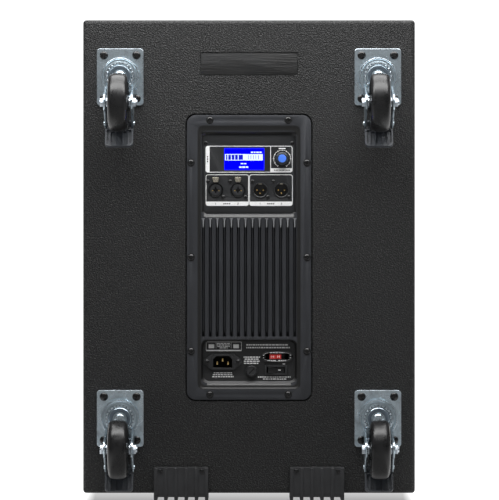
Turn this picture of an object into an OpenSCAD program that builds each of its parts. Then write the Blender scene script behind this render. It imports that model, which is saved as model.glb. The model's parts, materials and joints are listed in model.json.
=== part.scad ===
// Portable powered subwoofer: a plywood cabinet with its amplifier panel and four braked
// casters on the rear, and a 15 inch woofer with two ports behind a steel grille on the front.
// Millimetres. +Z is up, the rear faces -Y, and the origin is on the floor under the middle.

/* [Cabinet] */
// Width of the cabinet
cab_w = 428; // [426:1:460]
// Depth of the cabinet
cab_d = 496; // [480:2:560]
// Height of the cabinet without its feet
cab_h = 610; // [608:1:650]
// Thickness of the plywood
ply = 18; // [17:0.5:18]
// Radius of the rounded outer edges
edge_r = 5; // [3:0.5:7]
// Distance from the front edge back to the baffle
baffle_recess = 30; // [28:1:36]
// Width of the shallow rating plate recess
label_w = 126; // [80:1:150]
// Height of the shallow rating plate recess
label_h = 30; // [20:1:40]

/* [Feet] */
// Height of the feet below the cabinet
foot_h = 10; // [8:0.5:14]
// Width of one foot
foot_w = 70; // [68:1:80]
// Distance from the middle of the cabinet to the middle of a foot
foot_x = 87.7; // [80:0.1:100]
// Height that a foot rises up the face of the cabinet
foot_rise = 34; // [30:1:40]
// Length of a foot along the bottom of the cabinet
foot_l = 62; // [50:1:80]

/* [Woofer] */
// Diameter of the basket's flange
woofer_d = 386; // [384:1:387]
// Diameter of the hole in the baffle
woofer_hole_d = 354; // [353:1:356]
// Diameter of the magnet
magnet_d = 180; // [160:1:190]
// How far the cone moves each way
cone_travel = 8; // [2:1:8]
// Inner diameter of each port tube
port_d = 100; // [80:1:104]
// Length of each port tube
port_l = 170; // [120:1:200]

/* [Amplifier] */
// Width of the amplifier panel
amp_w = 160; // [158:1:162]
// Height of the amplifier panel
amp_h = 367; // [366:1:369]
// Height of the middle of the panel above the bottom of the cabinet
amp_up = 304; // [302:1:306]
// Distance between the cooling grooves
fin_pitch = 9.08; // [8.8:0.01:9.1]
// Width of one cooling groove
groove_w = 4; // [3:0.1:5]
// Number of cooling grooves
grooves = 14; // [10:2:14]

/* [Casters] */
// Height of a caster from its plate to the tread
caster_h = 100; // [99:0.5:102]
// Diameter of a wheel
wheel_d = 75; // [70:0.5:75]
// Width of a wheel
wheel_w = 25; // [22:0.5:25]
// Distance from the swivel axis to the wheel's axis
trail = 36; // [34:0.5:38]
// Distance from the middle of the cabinet to a caster
caster_x = 166; // [160:1:172]
// Height of the lower casters above the bottom of the cabinet
caster_low = 96.5; // [90:0.5:110]
// Height of the upper casters above the bottom of the cabinet
caster_high = 536.5; // [520:0.5:540]

/* [Hidden] */
$fn = 64;

sides = [-1, 1];
gap = 0.3;                                  // clearance between pieces that don't touch
through = 1;                                // how far a cut runs past a face

y_rear = -(caster_h + cab_d + 4) / 2 + caster_h;   // outer face of the rear panel
y_front = y_rear + cab_d;                          // front edge of the cabinet
z_low = foot_h;                                    // underside of the bottom panel
z_high = foot_h + cab_h;                           // top of the cabinet
inner_w = cab_w - 2 * ply;
inner_h = cab_h - 2 * ply;
mid_z = z_low + cab_h / 2;
baffle_y = y_front - baffle_recess;                // front face of the baffle
baffle_back = baffle_y - ply;

plywood = [0.13, 0.13, 0.135];
black_steel = [0.08, 0.08, 0.085];
black_plastic = [0.06, 0.06, 0.065];
slate = [0.19, 0.2, 0.21];
zinc = [0.72, 0.75, 0.8];

brace_y = y_rear + 138;                     // rear face of the window brace
brace_rim = 36;                             // width of the brace's outer bars
brace_bar = 40;                             // width of its middle bar

woofer_z = z_high - ply - woofer_d / 2 - 8;
flange_t = 6;                               // thickness of the basket's flange
magnet_y = baffle_y - 118;                  // front of the magnet assembly
magnet_t = 50;
cone_mouth_r = 150;                         // radius of the cone where it meets the surround
cone_y = baffle_y + flange_t - 0.4;         // mouth of the cone
cone_depth = 62;
coil_r = 37;                                // radius of the voice coil former
spider_up = cone_travel + 18;               // from the magnet to the middle of the spider
woofer_bolts = 8;
woofer_bolt_r = (woofer_d - 17) / 2;
port_x = 100;
port_z = (z_low + ply + woofer_z - woofer_d / 2) / 2;
port_wall = 3;
port_flange_r = port_d / 2 + 16;

grille_w = inner_w - 2;
grille_h = inner_h - 2;
grille_sheet = 1.2;
grille_depth = baffle_recess - 3;           // from the baffle to the face of the grille
grille_block = 14;
grille_blocks = [for (x = sides, z = [-1, 0, 1])
    [x * (grille_w / 2 - 8), mid_z + z * (grille_h / 2 - 8)]];

handle_y = y_rear + cab_d / 2 - 3;
handle_z = mid_z + 60;
handle_flange = [200, 130];
handle_pocket = [160, 100];
handle_depth = 52;
handle_wall = 3;
handle_flange_t = 3;
handle_corner = 15;
handle_cup_corner = 14;
grip_r = 12;                                // radius of the grip bar
grip_up = 18;                               // height of the bar above the pocket's middle

socket_y = y_rear + cab_d / 2;
pole_r = 17.75;                             // bore for a 35 mm pole
pole_depth = 75;
thread_r = 8.65;                            // core of an M20 thread
thread_depth = 20;
socket_wall = 4;
socket_flange_r = 58;
socket_flange_t = 4;
socket_screw_r = 47;

amp_z = z_low + amp_up;
amp_t = 3;                                  // thickness of the panel's flange
gasket_t = 1;
amp_recess = amp_t + gasket_t;              // routed rebate, so the panel lies flush
amp_body = [138, 345];                      // part of the panel that passes through the cut-out
amp_body_depth = 24;
step_w = 131.6;                             // shallow step inside the flange
step_h = 339;
step_depth = 1.5;
amp_screw_spots = concat(
    [for (x = sides, z = sides) [x * 50.5, z * 177]],
    [for (x = sides, z = [-121, 0, 122]) [x * 74.8, z]]
);

// Control tray, measured from the middle of the panel
tray_w = 122.4;
tray_low = 57.2;
tray_high = 162;
tray_depth = 7;
plate_t = 1.5;                              // control plate on the floor of its tray
plate_y = y_rear + tray_depth - plate_t;    // its outer face
// Cooling grooves
groove_low = -102.4;
groove_high = 50;
groove_depth = 14;
fin_w = 1.3;                                // thin fin on the floor of each groove
fin_depth = 3.4;                            // its face below the panel's face
fin_low = groove_low + 6.7;
head_low = groove_high - 11.6;              // each fin ends in a sloping head
head_depth = [2.6, 0.8];
groove_x = [for (i = [0 : grooves - 1]) (i - (grooves - 1) / 2) * fin_pitch];
// Mains tray
mains_w = 124.2;
mains_low = -162;
mains_high = -106.2;
mains_depth = 9;
mains_y = y_rear + mains_depth;             // floor of the mains tray

display_pos = [-6.2, 126.9];
display_size = [51.7, 28.6];
knob_pos = [42.7, 127.4];
jack_z = 86.9;
input_x = [-43.1, -14.3];
output_x = [14.3, 41.8];
jack_r = 9.7;
output_r = 10.2;
inlet_pos = [-34.1, -135.1];
fuse_pos = [3.2, -146.7];
selector_pos = [36.2, -128.2];
switch_pos = [34.6, -145.6];
plate_screws = concat(
    [for (x = sides) [x * 55.7, 147.4]],
    [for (x = concat(input_x, output_x)) [x - 10, jack_z + 11]],
    [for (x = concat(input_x, output_x)) [x + 9.7, jack_z - 9.2]]
);
inlet_screw_x = 20;
selector_screw_x = 17.5;
rocker_pin_r = 1.2;

caster_spots = [
    ["tl", -1, caster_high], ["tr", 1, caster_high], ["bl", -1, caster_low], ["br", 1, caster_low]
];
plate_size = [60, 73];
caster_plate_t = 2.5;
caster_holes = [42, 56];
caster_slot = [7.5, 6];                     // each hole is a short slot
axle_out = caster_h - wheel_d / 2;          // height of the wheel's axis above the plate
kingpin_r = 5;
crown_r = 24;
crown_z = [9.6, 12.4];                      // lower and upper faces of the fork's crown
ball_r = 1.3;
ball_ring_r = 16.7;
neck_y = -12.5;                             // upper edge of the arms beside the crown
axle_r = 4;
arm_t = 2.5;
arm_x = 16;                                 // inner face of each fork arm
pedal_pivot = [-trail - 25, 27];            // brake pivot, as height along the cabinet and out
pedal_pin_r = 2.5;
pedal_tip = [-91, 42];
run = 0.05;                                 // running clearance of a shaft in its bore

// A box between two corners
module box(lo, hi) {
    translate(lo) cube(hi - lo);
}

// A rounded rectangle about its own middle
module rounded(w, h, r) {
    square([w, h - 2 * r], center = true);
    square([w - 2 * r, h], center = true);
    for (x = sides, y = sides) translate([x * (w / 2 - r), y * (h / 2 - r)]) circle(r);
}

// Turns upright shapes so that their +Z points out of a face: 0 rear, 90 right, 180 front
module facing(angle, p) {
    translate(p) rotate([90, 0, angle]) children();
}

module rear_at(x, z, y = y_rear) {
    facing(0, [x, y, z]) children();
}

module amp_at(p, y = y_rear) {
    rear_at(p[0], amp_z + p[1], y) children();
}

// A pan-head screw with a cross recess: its head starts at z = 0 and its shank points to -Z
module screw(head_r, head_h, shank_r, length) {
    difference() {
        union() {
            cylinder(h = head_h * 0.55, r = head_r);
            translate([0, 0, head_h * 0.55]) cylinder(h = head_h * 0.45, r1 = head_r, r2 = head_r * 0.72);
        }
        for (a = [0, 90]) rotate(a)
            translate([0, 0, head_h]) cube([head_r * 1.1, head_r * 0.26, head_h], center = true);
    }
    translate([0, 0, -length]) cylinder(h = length, r = shank_r);
}

// The outer shape of the closed cabinet, with every edge rounded
module cabinet_shape() {
    intersection() {
        translate([0, y_rear + cab_d / 2, z_low]) linear_extrude(cab_h) rounded(cab_w, cab_d, edge_r);
        rear_at(0, mid_z, y_front) linear_extrude(cab_d) rounded(cab_w, cab_h, edge_r);
        facing(90, [-cab_w / 2, y_rear + cab_d / 2, mid_z])
            linear_extrude(cab_w) rounded(cab_d, cab_h, edge_r);
    }
}

module horizontal_panel(z) {
    intersection() {
        cabinet_shape();
        box([-cab_w, y_rear - through, z], [cab_w, y_front + through, z + ply]);
    }
}

module top_panel() {
    color(plywood) difference() {
        horizontal_panel(z_high - ply);
        translate([0, socket_y, z_high - socket_flange_t])
            cylinder(h = socket_flange_t + through, r = socket_flange_r + gap);
        translate([0, socket_y, z_high - ply - through])
            cylinder(h = ply + 2 * through, r = pole_r + socket_wall + gap);
    }
}

module bottom_panel() {
    color(plywood) horizontal_panel(z_low);
}

// One side panel: 1 is the right one and -1 the left one
module side_panel(side) {
    color(plywood) difference() {
        intersection() {
            cabinet_shape();
            box(
                [side > 0 ? cab_w / 2 - ply : -cab_w, y_rear + ply, z_low + ply],
                [side > 0 ? cab_w : ply - cab_w / 2, y_front + through, z_high - ply]
            );
        }
        facing(side * 90, [side * (cab_w / 2 - handle_flange_t), handle_y, handle_z])
            linear_extrude(handle_flange_t + through)
                rounded(handle_flange[0] + 2 * gap, handle_flange[1] + 2 * gap, handle_corner + gap);
        facing(side * 90, [side * (cab_w / 2 - ply - through), handle_y, handle_z])
            linear_extrude(ply + 2 * through)
                rounded(
                    handle_pocket[0] + 2 * (handle_wall + gap),
                    handle_pocket[1] + 2 * (handle_wall + gap),
                    handle_cup_corner + gap
                );
    }
}

module left_panel() {
    side_panel(-1);
}

module right_panel() {
    side_panel(1);
}

module rear_panel() {
    color(plywood) difference() {
        intersection() {
            cabinet_shape();
            box([-cab_w, y_rear - through, z_low + ply], [cab_w, y_rear + ply, z_high - ply]);
        }
        // rebate and cut-out for the amplifier
        amp_at([0, 0], y_rear + amp_recess) linear_extrude(amp_recess + through)
            rounded(amp_w + 4, amp_h + 4, 13);
        amp_at([0, 0], y_rear + ply + through) linear_extrude(ply + 2 * through)
            rounded(amp_body[0] + 3, amp_body[1] + 3, 8);
        // blank recess for a rating plate
        rear_at(0, z_low + 553.4, y_rear + 1.2) linear_extrude(1.2 + through)
            rounded(label_w, label_h, 2);
    }
}

module front_baffle() {
    color(plywood) difference() {
        box([-inner_w / 2, baffle_back, z_low + ply], [inner_w / 2, baffle_y, z_high - ply]);
        rear_at(0, woofer_z, baffle_y + through) cylinder(h = ply + 2 * through, d = woofer_hole_d, $fn = 128);
        for (x = sides) rear_at(x * port_x, port_z, baffle_y + through)
            cylinder(h = ply + 2 * through, r = port_d / 2 + port_wall + gap);
    }
}

// A frame between the four walls with a window on each side of its middle bar
module window_brace() {
    window_w = (inner_w - 2 * brace_rim - brace_bar) / 2;
    color(plywood) difference() {
        box([-inner_w / 2, brace_y, z_low + ply], [inner_w / 2, brace_y + ply, z_high - ply]);
        for (x = sides) rear_at(x * (window_w + brace_bar) / 2, mid_z, brace_y + ply + through)
            linear_extrude(ply + 2 * through) rounded(window_w, inner_h - 2 * brace_rim, 20);
    }
}

// Two straight tubes with a flared, flanged mouth
module port_tubes() {
    r = port_d / 2;
    color(black_plastic) for (x = sides) facing(180, [x * port_x, baffle_y, port_z])
        rotate_extrude($fn = 96) difference() {
            union() {
                translate([r, -port_l]) square([port_wall, port_l]);
                translate([r, 0]) square([port_flange_r - r, 4]);
            }
            // quarter-round flare cut into the mouth
            difference() {
                translate([r - through, 4 - port_wall]) square([port_wall + through, port_wall + through]);
                translate([r + port_wall, 4 - port_wall]) circle(port_wall);
            }
        }
}

// A steel sheet with its four edges folded back to the baffle, on six welded blocks
module grille() {
    color(black_steel) difference() {
        rear_at(0, mid_z, baffle_y + grille_depth) linear_extrude(grille_depth)
            rounded(grille_w, grille_h, 4);
        difference() {
            rear_at(0, mid_z, baffle_y + grille_depth - grille_sheet) linear_extrude(grille_depth)
                rounded(grille_w - 2 * grille_sheet, grille_h - 2 * grille_sheet, 3);
            for (p = grille_blocks) rear_at(p[0], p[1], y_front)
                linear_extrude(baffle_recess + through) square(grille_block, center = true);
        }
    }
}

// Two recessed handles: a flush flange, a cup behind it and a bar to hold
module side_handles() {
    cup_w = handle_pocket[0];
    cup_h = handle_pocket[1];
    color(black_plastic) for (side = sides)
        facing(side * 90, [side * cab_w / 2, handle_y, handle_z]) {
            difference() {
                union() {
                    translate([0, 0, -handle_flange_t]) linear_extrude(handle_flange_t)
                        rounded(handle_flange[0], handle_flange[1], handle_corner);
                    translate([0, 0, -handle_depth]) linear_extrude(handle_depth)
                        rounded(cup_w + 2 * handle_wall, cup_h + 2 * handle_wall, handle_cup_corner);
                }
                translate([0, 0, handle_wall - handle_depth]) linear_extrude(handle_depth)
                    rounded(cup_w, cup_h, handle_cup_corner - handle_wall);
            }
            // the bar runs from end to end of the cup
            translate([-cup_w / 2 - through, grip_up, -grip_r - handle_flange_t]) rotate([0, 90, 0])
                cylinder(h = cup_w + 2 * through, r = grip_r);
        }
}

// A flanged cup for a stand's pole, with a threaded hole in its floor
module pole_socket() {
    depth = pole_depth + thread_depth;
    color(black_steel) translate([0, socket_y, z_high]) rotate_extrude() difference() {
        union() {
            translate([0, -socket_flange_t]) square([socket_flange_r, socket_flange_t]);
            translate([0, -depth]) square([pole_r + socket_wall, depth]);
        }
        translate([-through, -pole_depth]) square([pole_r + through, pole_depth + through]);
        translate([-through, -depth - through]) square([thread_r + through, depth]);
    }
}

// One foot at the rear bottom edge: it wraps the edge and carries six ribs
module foot() {
    wrap = 3;                               // on the face of the cabinet
    web = 5.4;                              // under the cabinet
    rib_out = 1;
    rib_w = 4.2;
    rib_pitch = (foot_w - rib_w) / 5;
    rotate([90, 0, 90]) {
        translate([0, 0, -foot_w / 2]) linear_extrude(foot_w) foot_outline(wrap, web, 0, 6);
        for (i = [0 : 5]) translate([0, 0, i * rib_pitch - foot_w / 2]) linear_extrude(rib_w)
            foot_outline(wrap + rib_out, foot_h, 1.5, 8);
    }
}

// Side view of a foot: an L around the cabinet's edge with a round outer corner
module foot_outline(out, down, shorter, corner) {
    translate([-out, corner - down]) square([out, foot_rise - shorter - corner + down]);
    translate([corner - out, -down]) square([foot_l - shorter - corner + out, down]);
    difference() {
        translate([corner - out, corner - down]) circle(corner);
        square(2 * corner);
    }
}

module feet() {
    color(black_plastic) for (x = sides) {
        translate([x * foot_x, y_rear, z_low]) foot();
        translate([x * foot_x, y_front, z_low]) rotate(180) foot();
    }
}

// Screws of the handles, pole socket, feet and grille
module case_screws() {
    color(black_steel) {
        for (side = sides, y = sides, z = sides)
            facing(side * 90, [
                side * (cab_w / 2 - 1.6), handle_y + y * (handle_flange[0] / 2 - 9),
                handle_z + z * (handle_flange[1] / 2 - 9)
            ]) screw(4, 1.6, 2, 12);
        for (a = [45 : 90 : 315])
            translate([socket_screw_r * cos(a), socket_y + socket_screw_r * sin(a), z_high - 1.6])
                screw(4, 1.6, 2, 14);
        for (x = sides, dx = sides, front = [false, true])
            facing(front ? 180 : 0, [
                x * foot_x + dx * 26.7, front ? y_front + 3 : y_rear - 3, z_low + foot_rise - 5.7
            ]) screw(3.1, 1, 1.6, 14);
        for (p = grille_blocks)
            facing(180, [p[0], baffle_y + grille_depth - 0.6, p[1]]) screw(3.5, 1.6, 1.8, 36);
    }
}

// Pressed steel frame of the woofer, open between its four spokes
module woofer_basket() {
    back = baffle_y - magnet_y;
    rim_r = woofer_hole_d / 2 - 1;
    color(black_steel) facing(180, [0, baffle_y, woofer_z]) {
        difference() {
            union() {
                cylinder(h = flange_t, d = woofer_d, $fn = 128);
                translate([0, 0, -18]) cylinder(h = 18.5, r = rim_r, $fn = 128);
            }
            translate([0, 0, -18 - through]) cylinder(h = 40, r = rim_r - 4, $fn = 128);
            for (i = [0 : woofer_bolts - 1]) rotate(i * 360 / woofer_bolts + 22.5)
                translate([woofer_bolt_r, 0, -through]) cylinder(h = flange_t + 2 * through, r = 2.8);
        }
        // spokes from the rim to the magnet's plate
        intersection() {
            rotate_extrude($fn = 96) polygon([
                [70, -back], [112, -back], [rim_r - 1, -14], [rim_r - 1, -4], [rim_r - 12, -14], [70, -back + 4]
            ]);
            for (a = [0 : 45 : 135]) rotate(a + 22.5)
                translate([-rim_r, -14, -back]) cube([2 * rim_r, 28, back]);
        }
        translate([0, 0, -back]) difference() {
            cylinder(h = 4, r = 88);
            translate([0, 0, -through]) cylinder(h = 6, r = 62);
        }
        // landing for the spider
        translate([0, 0, spider_up - 7 - back]) difference() {
            cylinder(h = 3, r = 94);
            translate([0, 0, -through]) cylinder(h = 5, r = 82);
        }
    }
}

// Ferrite ring between two steel plates, with the pole piece in the coil's gap
module woofer_magnet() {
    plate = 8;
    bottom = -magnet_t;
    color(slate) facing(180, [0, magnet_y - gap, woofer_z]) rotate_extrude($fn = 96) difference() {
        union() {
            translate([0, bottom]) square([magnet_d / 2 - 5, plate]);
            translate([0, bottom + plate]) square([magnet_d / 2, magnet_t - 2 * plate]);
            translate([0, -plate]) square([magnet_d / 2 - 8, plate]);
        }
        translate([coil_r - 3, bottom + plate]) square([8, magnet_t]);
        translate([-through, bottom - through]) square([12 + through, magnet_t + 2 * through]);
    }
}

// Half-roll of rubber between the cone and the flange
module woofer_surround() {
    roll = (woofer_hole_d / 2 - 9 - cone_mouth_r) / 2;
    mid = cone_mouth_r + roll;
    color(black_plastic) facing(180, [0, baffle_y + flange_t, woofer_z]) rotate_extrude($fn = 96)
        intersection() {
            union() {
                difference() {
                    translate([mid, 0]) circle(roll);
                    translate([mid, 0]) circle(roll - 1.6);
                }
                translate([mid + roll - 1.6, 0]) square([11, 1.6]);
                translate([cone_mouth_r - 6, 0]) square([7.6, 1.6]);
            }
            square([woofer_d, roll + 2]);
        }
}

// Corrugated disc that centres the coil
module woofer_spider() {
    color([0.45, 0.33, 0.16]) facing(180, [0, magnet_y + spider_up, woofer_z]) rotate_extrude($fn = 96)
        difference() {
            union() for (i = [0 : 7])
                translate([coil_r + 4.4 + 6 * i, 0]) difference() {
                    circle(3.5);
                    circle(2.6);
                    translate([-5, i % 2 == 0 ? -10 : 0]) square([10, 10]);
                }
            translate([0, -20]) square([coil_r + 1.6, 40]);
        }
}

module woofer_screws() {
    color(black_steel) for (i = [0 : woofer_bolts - 1]) facing(180, [
        woofer_bolt_r * cos(i * 360 / woofer_bolts + 22.5), baffle_y + flange_t,
        woofer_z + woofer_bolt_r * sin(i * 360 / woofer_bolts + 22.5)
    ]) screw(5, 3, 2.7, 22);
}

// Paper cone with its dust cap
module woofer_cone() {
    wall = 1.6;
    cap_r = 72;
    cap_rise = 16;
    cap_z = -cone_depth * (cone_mouth_r - cap_r) / (cone_mouth_r - coil_r - 1) - 1;
    cap_sphere = (cap_r * cap_r + cap_rise * cap_rise) / (2 * cap_rise);
    color([0.1, 0.1, 0.1]) facing(180, [0, cone_y, woofer_z]) rotate_extrude($fn = 96) {
        polygon([
            [cone_mouth_r, 0], [cone_mouth_r, -wall],
            [coil_r + 1, -cone_depth - wall], [coil_r + 1, -cone_depth]
        ]);
        intersection() {
            translate([0, cap_z + cap_rise - cap_sphere]) difference() {
                circle(cap_sphere, $fn = 128);
                circle(cap_sphere - wall, $fn = 128);
            }
            translate([0, cap_z]) square([cap_r, cap_rise + wall]);
        }
    }
}

// Paper tube with the winding that runs in the magnet's gap
module voice_coil() {
    front = cone_y - cone_depth;
    length = front - magnet_y + 22;
    color([0.6, 0.35, 0.15]) facing(180, [0, front, woofer_z]) rotate_extrude($fn = 96) {
        translate([coil_r - 0.5, -length]) square([1.4, length]);
        translate([coil_r - 0.5, -length]) square([2, 18]);
    }
}

// Cast panel: flange, step, control tray, cooling grooves and mains tray
module amp_heatsink() {
    color(slate) difference() {
        union() {
            amp_at([0, 0], y_rear + amp_t) linear_extrude(amp_t) rounded(amp_w, amp_h, 11.5);
            amp_at([0, 0], y_rear + amp_body_depth) linear_extrude(amp_body_depth - 1)
                rounded(amp_body[0], amp_body[1], 6);
        }
        amp_at([0, 0], y_rear + step_depth) linear_extrude(step_depth + through)
            rounded(step_w, step_h, 5);
        amp_at([0, (tray_low + tray_high) / 2], y_rear + tray_depth) linear_extrude(tray_depth + through)
            rounded(tray_w, tray_high - tray_low, 3);
        // sloping lower lip of the control tray
        facing(90, [-tray_w / 2 + 3, y_rear, amp_z + tray_low]) linear_extrude(tray_w - 6)
            polygon([[-through, 1], [-through, -6], [step_depth, -6], [tray_depth, 0], [tray_depth, 1]]);
        amp_at([0, (mains_low + mains_high) / 2], mains_y) linear_extrude(mains_depth + through)
            rounded(mains_w, mains_high - mains_low, 8);
        facing(90, [-mains_w / 2 + 8, y_rear, amp_z + mains_low]) linear_extrude(mains_w - 16)
            polygon([[-through, 1], [-through, -6], [step_depth, -6], [mains_depth, 0], [mains_depth, 1]]);
        // cooling grooves with rounded lower ends
        amp_at([0, 0], y_rear + groove_depth) linear_extrude(groove_depth + through) for (x = groove_x) {
            translate([x - groove_w / 2, groove_low + 1]) square([groove_w, groove_high - groove_low - 1]);
            translate([x, groove_low + 1]) square([groove_w - 2, 2], center = true);
            for (dx = sides) translate([x + dx * (groove_w / 2 - 1), groove_low + 1]) circle(1);
        }
        // screw holes of the flange
        for (p = amp_screw_spots) amp_at(p, y_rear + amp_t + through)
            cylinder(h = amp_t + 2 * through, r = 2.2);
        // clearance behind the control plate for jacks, encoder and display
        for (x = concat(input_x, output_x)) amp_at([x, jack_z], y_rear + amp_body_depth + through)
            cylinder(h = amp_body_depth, r = output_r + 0.8);
        for (x = input_x) amp_at([x, 100.2], y_rear + amp_body_depth + through)
            linear_extrude(amp_body_depth) square([9, 6], center = true);
        amp_at(knob_pos, y_rear + amp_body_depth + through) cylinder(h = amp_body_depth, r = 5);
        amp_at(display_pos, y_rear + amp_body_depth + through) linear_extrude(amp_body_depth)
            square([display_size[0] + 4, display_size[1] + 4], center = true);
        // cut-outs of the mains tray
        amp_at(inlet_pos, y_rear + amp_body_depth + through) linear_extrude(amp_body_depth)
            square([29, 21], center = true);
        amp_at(fuse_pos, y_rear + amp_body_depth + through) cylinder(h = amp_body_depth, r = 6.2);
        amp_at(selector_pos, y_rear + amp_body_depth + through) linear_extrude(amp_body_depth)
            square([24, 10], center = true);
        amp_at(switch_pos, y_rear + amp_body_depth + through) linear_extrude(amp_body_depth)
            square([27, 11], center = true);
    }
    color(slate) groove_fins();
}

// Thin fins inside the grooves, each under a tapering head that slopes back to the groove's top
module groove_fins() {
    overlap = 0.5;
    amp_at([0, 0], y_rear + groove_depth + overlap) linear_extrude(groove_depth + overlap - fin_depth)
        for (x = groove_x) translate([x - fin_w / 2, fin_low]) square([fin_w, groove_high + overlap - fin_low]);
    intersection() {
        facing(90, [-tray_w / 2, y_rear, amp_z]) linear_extrude(tray_w) polygon([
            [head_depth[0], groove_high + overlap], [head_depth[1], head_low],
            [groove_depth + overlap, head_low], [groove_depth + overlap, groove_high + overlap]
        ]);
        amp_at([0, 0], y_rear + groove_depth + overlap) linear_extrude(groove_depth + overlap)
            for (x = groove_x) translate([x, 0]) polygon([
                [-1.8, groove_high + overlap], [-1.8, groove_high - 0.4], [-1.3, groove_high - 1.6],
                [-1, groove_high - 5], [-0.85, head_low], [0.85, head_low], [1, groove_high - 5],
                [1.3, groove_high - 1.6], [1.8, groove_high - 0.4], [1.8, groove_high + overlap]
            ]);
    }
}

// Foam seal between the panel's flange and the rebate
module amp_gasket() {
    color([0.1, 0.1, 0.1]) amp_at([0, 0], y_rear + amp_recess) linear_extrude(gasket_t) difference() {
        rounded(amp_w - 1, amp_h - 1, 11);
        rounded(amp_body[0] + 3, amp_body[1] + 3, 8);
        for (p = amp_screw_spots) translate(p) circle(2.4);
    }
}

// Screws of the panel, control plate, mains inlet and voltage selector
module amp_screws() {
    color(black_steel) {
        for (p = amp_screw_spots) amp_at(p) screw(3.9, 1.6, 2, 16);
        for (p = plate_screws) amp_at(p, plate_y) screw(2.4, 1, 1.2, 5);
        for (x = sides) amp_at([inlet_pos[0] + x * inlet_screw_x, inlet_pos[1]], mains_y - 3)
            screw(3, 1.2, 1.4, 8);
        for (x = sides) amp_at([selector_pos[0] + x * selector_screw_x, selector_pos[1]], mains_y - 1.5)
            screw(2.6, 1, 1.4, 7);
    }
}

// Plate that carries the display, the knob and the four jacks
module control_plate() {
    color([0.14, 0.145, 0.15]) amp_at([0, (tray_low + tray_high) / 2], plate_y + plate_t)
        linear_extrude(plate_t) difference() {
            rounded(tray_w - 0.6, tray_high - tray_low - 0.6, 2.7);
            translate([0, -(tray_low + tray_high) / 2]) {
                translate(display_pos) square(display_size, center = true);
                translate(knob_pos) circle(3.8);
                for (x = input_x) translate([x, jack_z]) circle(jack_r + 0.1);
                for (x = output_x) translate([x, jack_z]) circle(output_r + 0.1);
                for (x = input_x) translate([x, 100.2]) square([8.4, 5.4], center = true);
                for (p = plate_screws) translate(p) circle(1.3);
            }
        }
}

// The amplifier's circuit board with its tall parts, on the back of the panel
module amp_board() {
    board_y = y_rear + amp_body_depth + 34;
    color([0.1, 0.3, 0.15]) {
        amp_at([0, 25], board_y + 1.6) linear_extrude(1.6) square([124, 270], center = true);
        for (x = sides, z = [-50, 55]) amp_at([x * 56, z], board_y) cylinder(h = 34 - gap, r = 4);
    }
    color([0.15, 0.15, 0.2]) for (x = sides, z = [-20, 20])
        amp_at([x * 20, z], board_y + 37) cylinder(h = 35.4, r = 15);
}

// Ring transformer on the back of the panel, below the board
module mains_transformer() {
    color([0.55, 0.32, 0.12]) amp_at([0, -60], y_rear + amp_body_depth + 31) rotate_extrude()
        translate([28, 15]) circle(14);
    color(black_steel) amp_at([0, -60], y_rear + amp_body_depth + 31) cylinder(h = 31 - gap, r = 12);
}

// Graphic display with its own small board
module display_module() {
    color([0.1, 0.2, 0.8]) amp_at(display_pos, plate_y + 8) linear_extrude(8)
        square([display_size[0] - 0.4, display_size[1] - 0.4], center = true);
    color([0.1, 0.3, 0.15]) amp_at(display_pos, plate_y + 10) linear_extrude(2)
        square([display_size[0] + 2, display_size[1] + 2], center = true);
}

// Two combination jacks, each for a quarter-inch plug or an XLR plug
module input_jacks() {
    color([0.16, 0.17, 0.18]) for (x = input_x) amp_at([x, jack_z], plate_y) difference() {
        union() {
            translate([0, 0, -26]) cylinder(h = 26, r = jack_r);
            cylinder(h = 0.8, r = jack_r);
        }
        translate([0, 0, -22]) cylinder(h = 24, r = 3.3);
        for (a = [90, 210, 330]) rotate(a) translate([5.4, 0, -14]) cylinder(h = 16, r = 1.5);
        // keyway above the hole
        translate([-2, 6, -12]) cube([4, 8, 14]);
    }
}

// Two male XLR jacks: a shell with three contacts inside
module output_jacks() {
    for (x = output_x) amp_at([x, jack_z], plate_y) {
        color([0.1, 0.1, 0.11]) difference() {
            union() {
                translate([0, 0, -22]) cylinder(h = 22, r = output_r - 0.4);
                cylinder(h = 1, r = output_r);
            }
            translate([0, 0, -16]) cylinder(h = 18, r = 8.4);
        }
        // the contacts stand on the floor of the shell
        color([0.8, 0.62, 0.25]) for (p = [[-3.8, 0], [3.8, 0], [0, -3.8]])
            translate([p[0], p[1], -17]) cylinder(h = 14, r = 1.2);
    }
}

// Spring latch above an input jack
module input_latch(x) {
    color([0.6, 0.61, 0.63]) amp_at([x, 100.2], plate_y) {
        translate([0, 0, -4]) linear_extrude(6.2) square([7.4, 4.4], center = true);
        translate([0, 0, 2.2]) linear_extrude(0.9) rounded(9.4, 6.4, 1.2);
    }
}

module input_latch_left() {
    input_latch(input_x[0]);
}

module input_latch_right() {
    input_latch(input_x[1]);
}

// Shaft of the encoder: it slides in to press and carries the knob
module encoder_shaft() {
    color([0.7, 0.7, 0.72]) amp_at(knob_pos, plate_y) translate([0, 0, -8]) cylinder(h = 14, r = 3);
}

// Ribbed knob with a lit cap, turning on the shaft
module encoder_knob() {
    color([0.12, 0.13, 0.15]) amp_at(knob_pos, plate_y) translate([0, 0, 1.4]) difference() {
        union() {
            cylinder(h = 8, r = 8.2);
            for (a = [0 : 20 : 340]) rotate(a) translate([8.1, 0, 0]) cylinder(h = 7.4, r = 0.6);
        }
        translate([0, 0, -through]) cylinder(h = 4.6 + through, r = 3 + run);
    }
    color([0.2, 0.4, 0.9]) amp_at(knob_pos, plate_y) translate([0, 0, 9.4]) cylinder(h = 0.6, r = 5);
}

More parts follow.
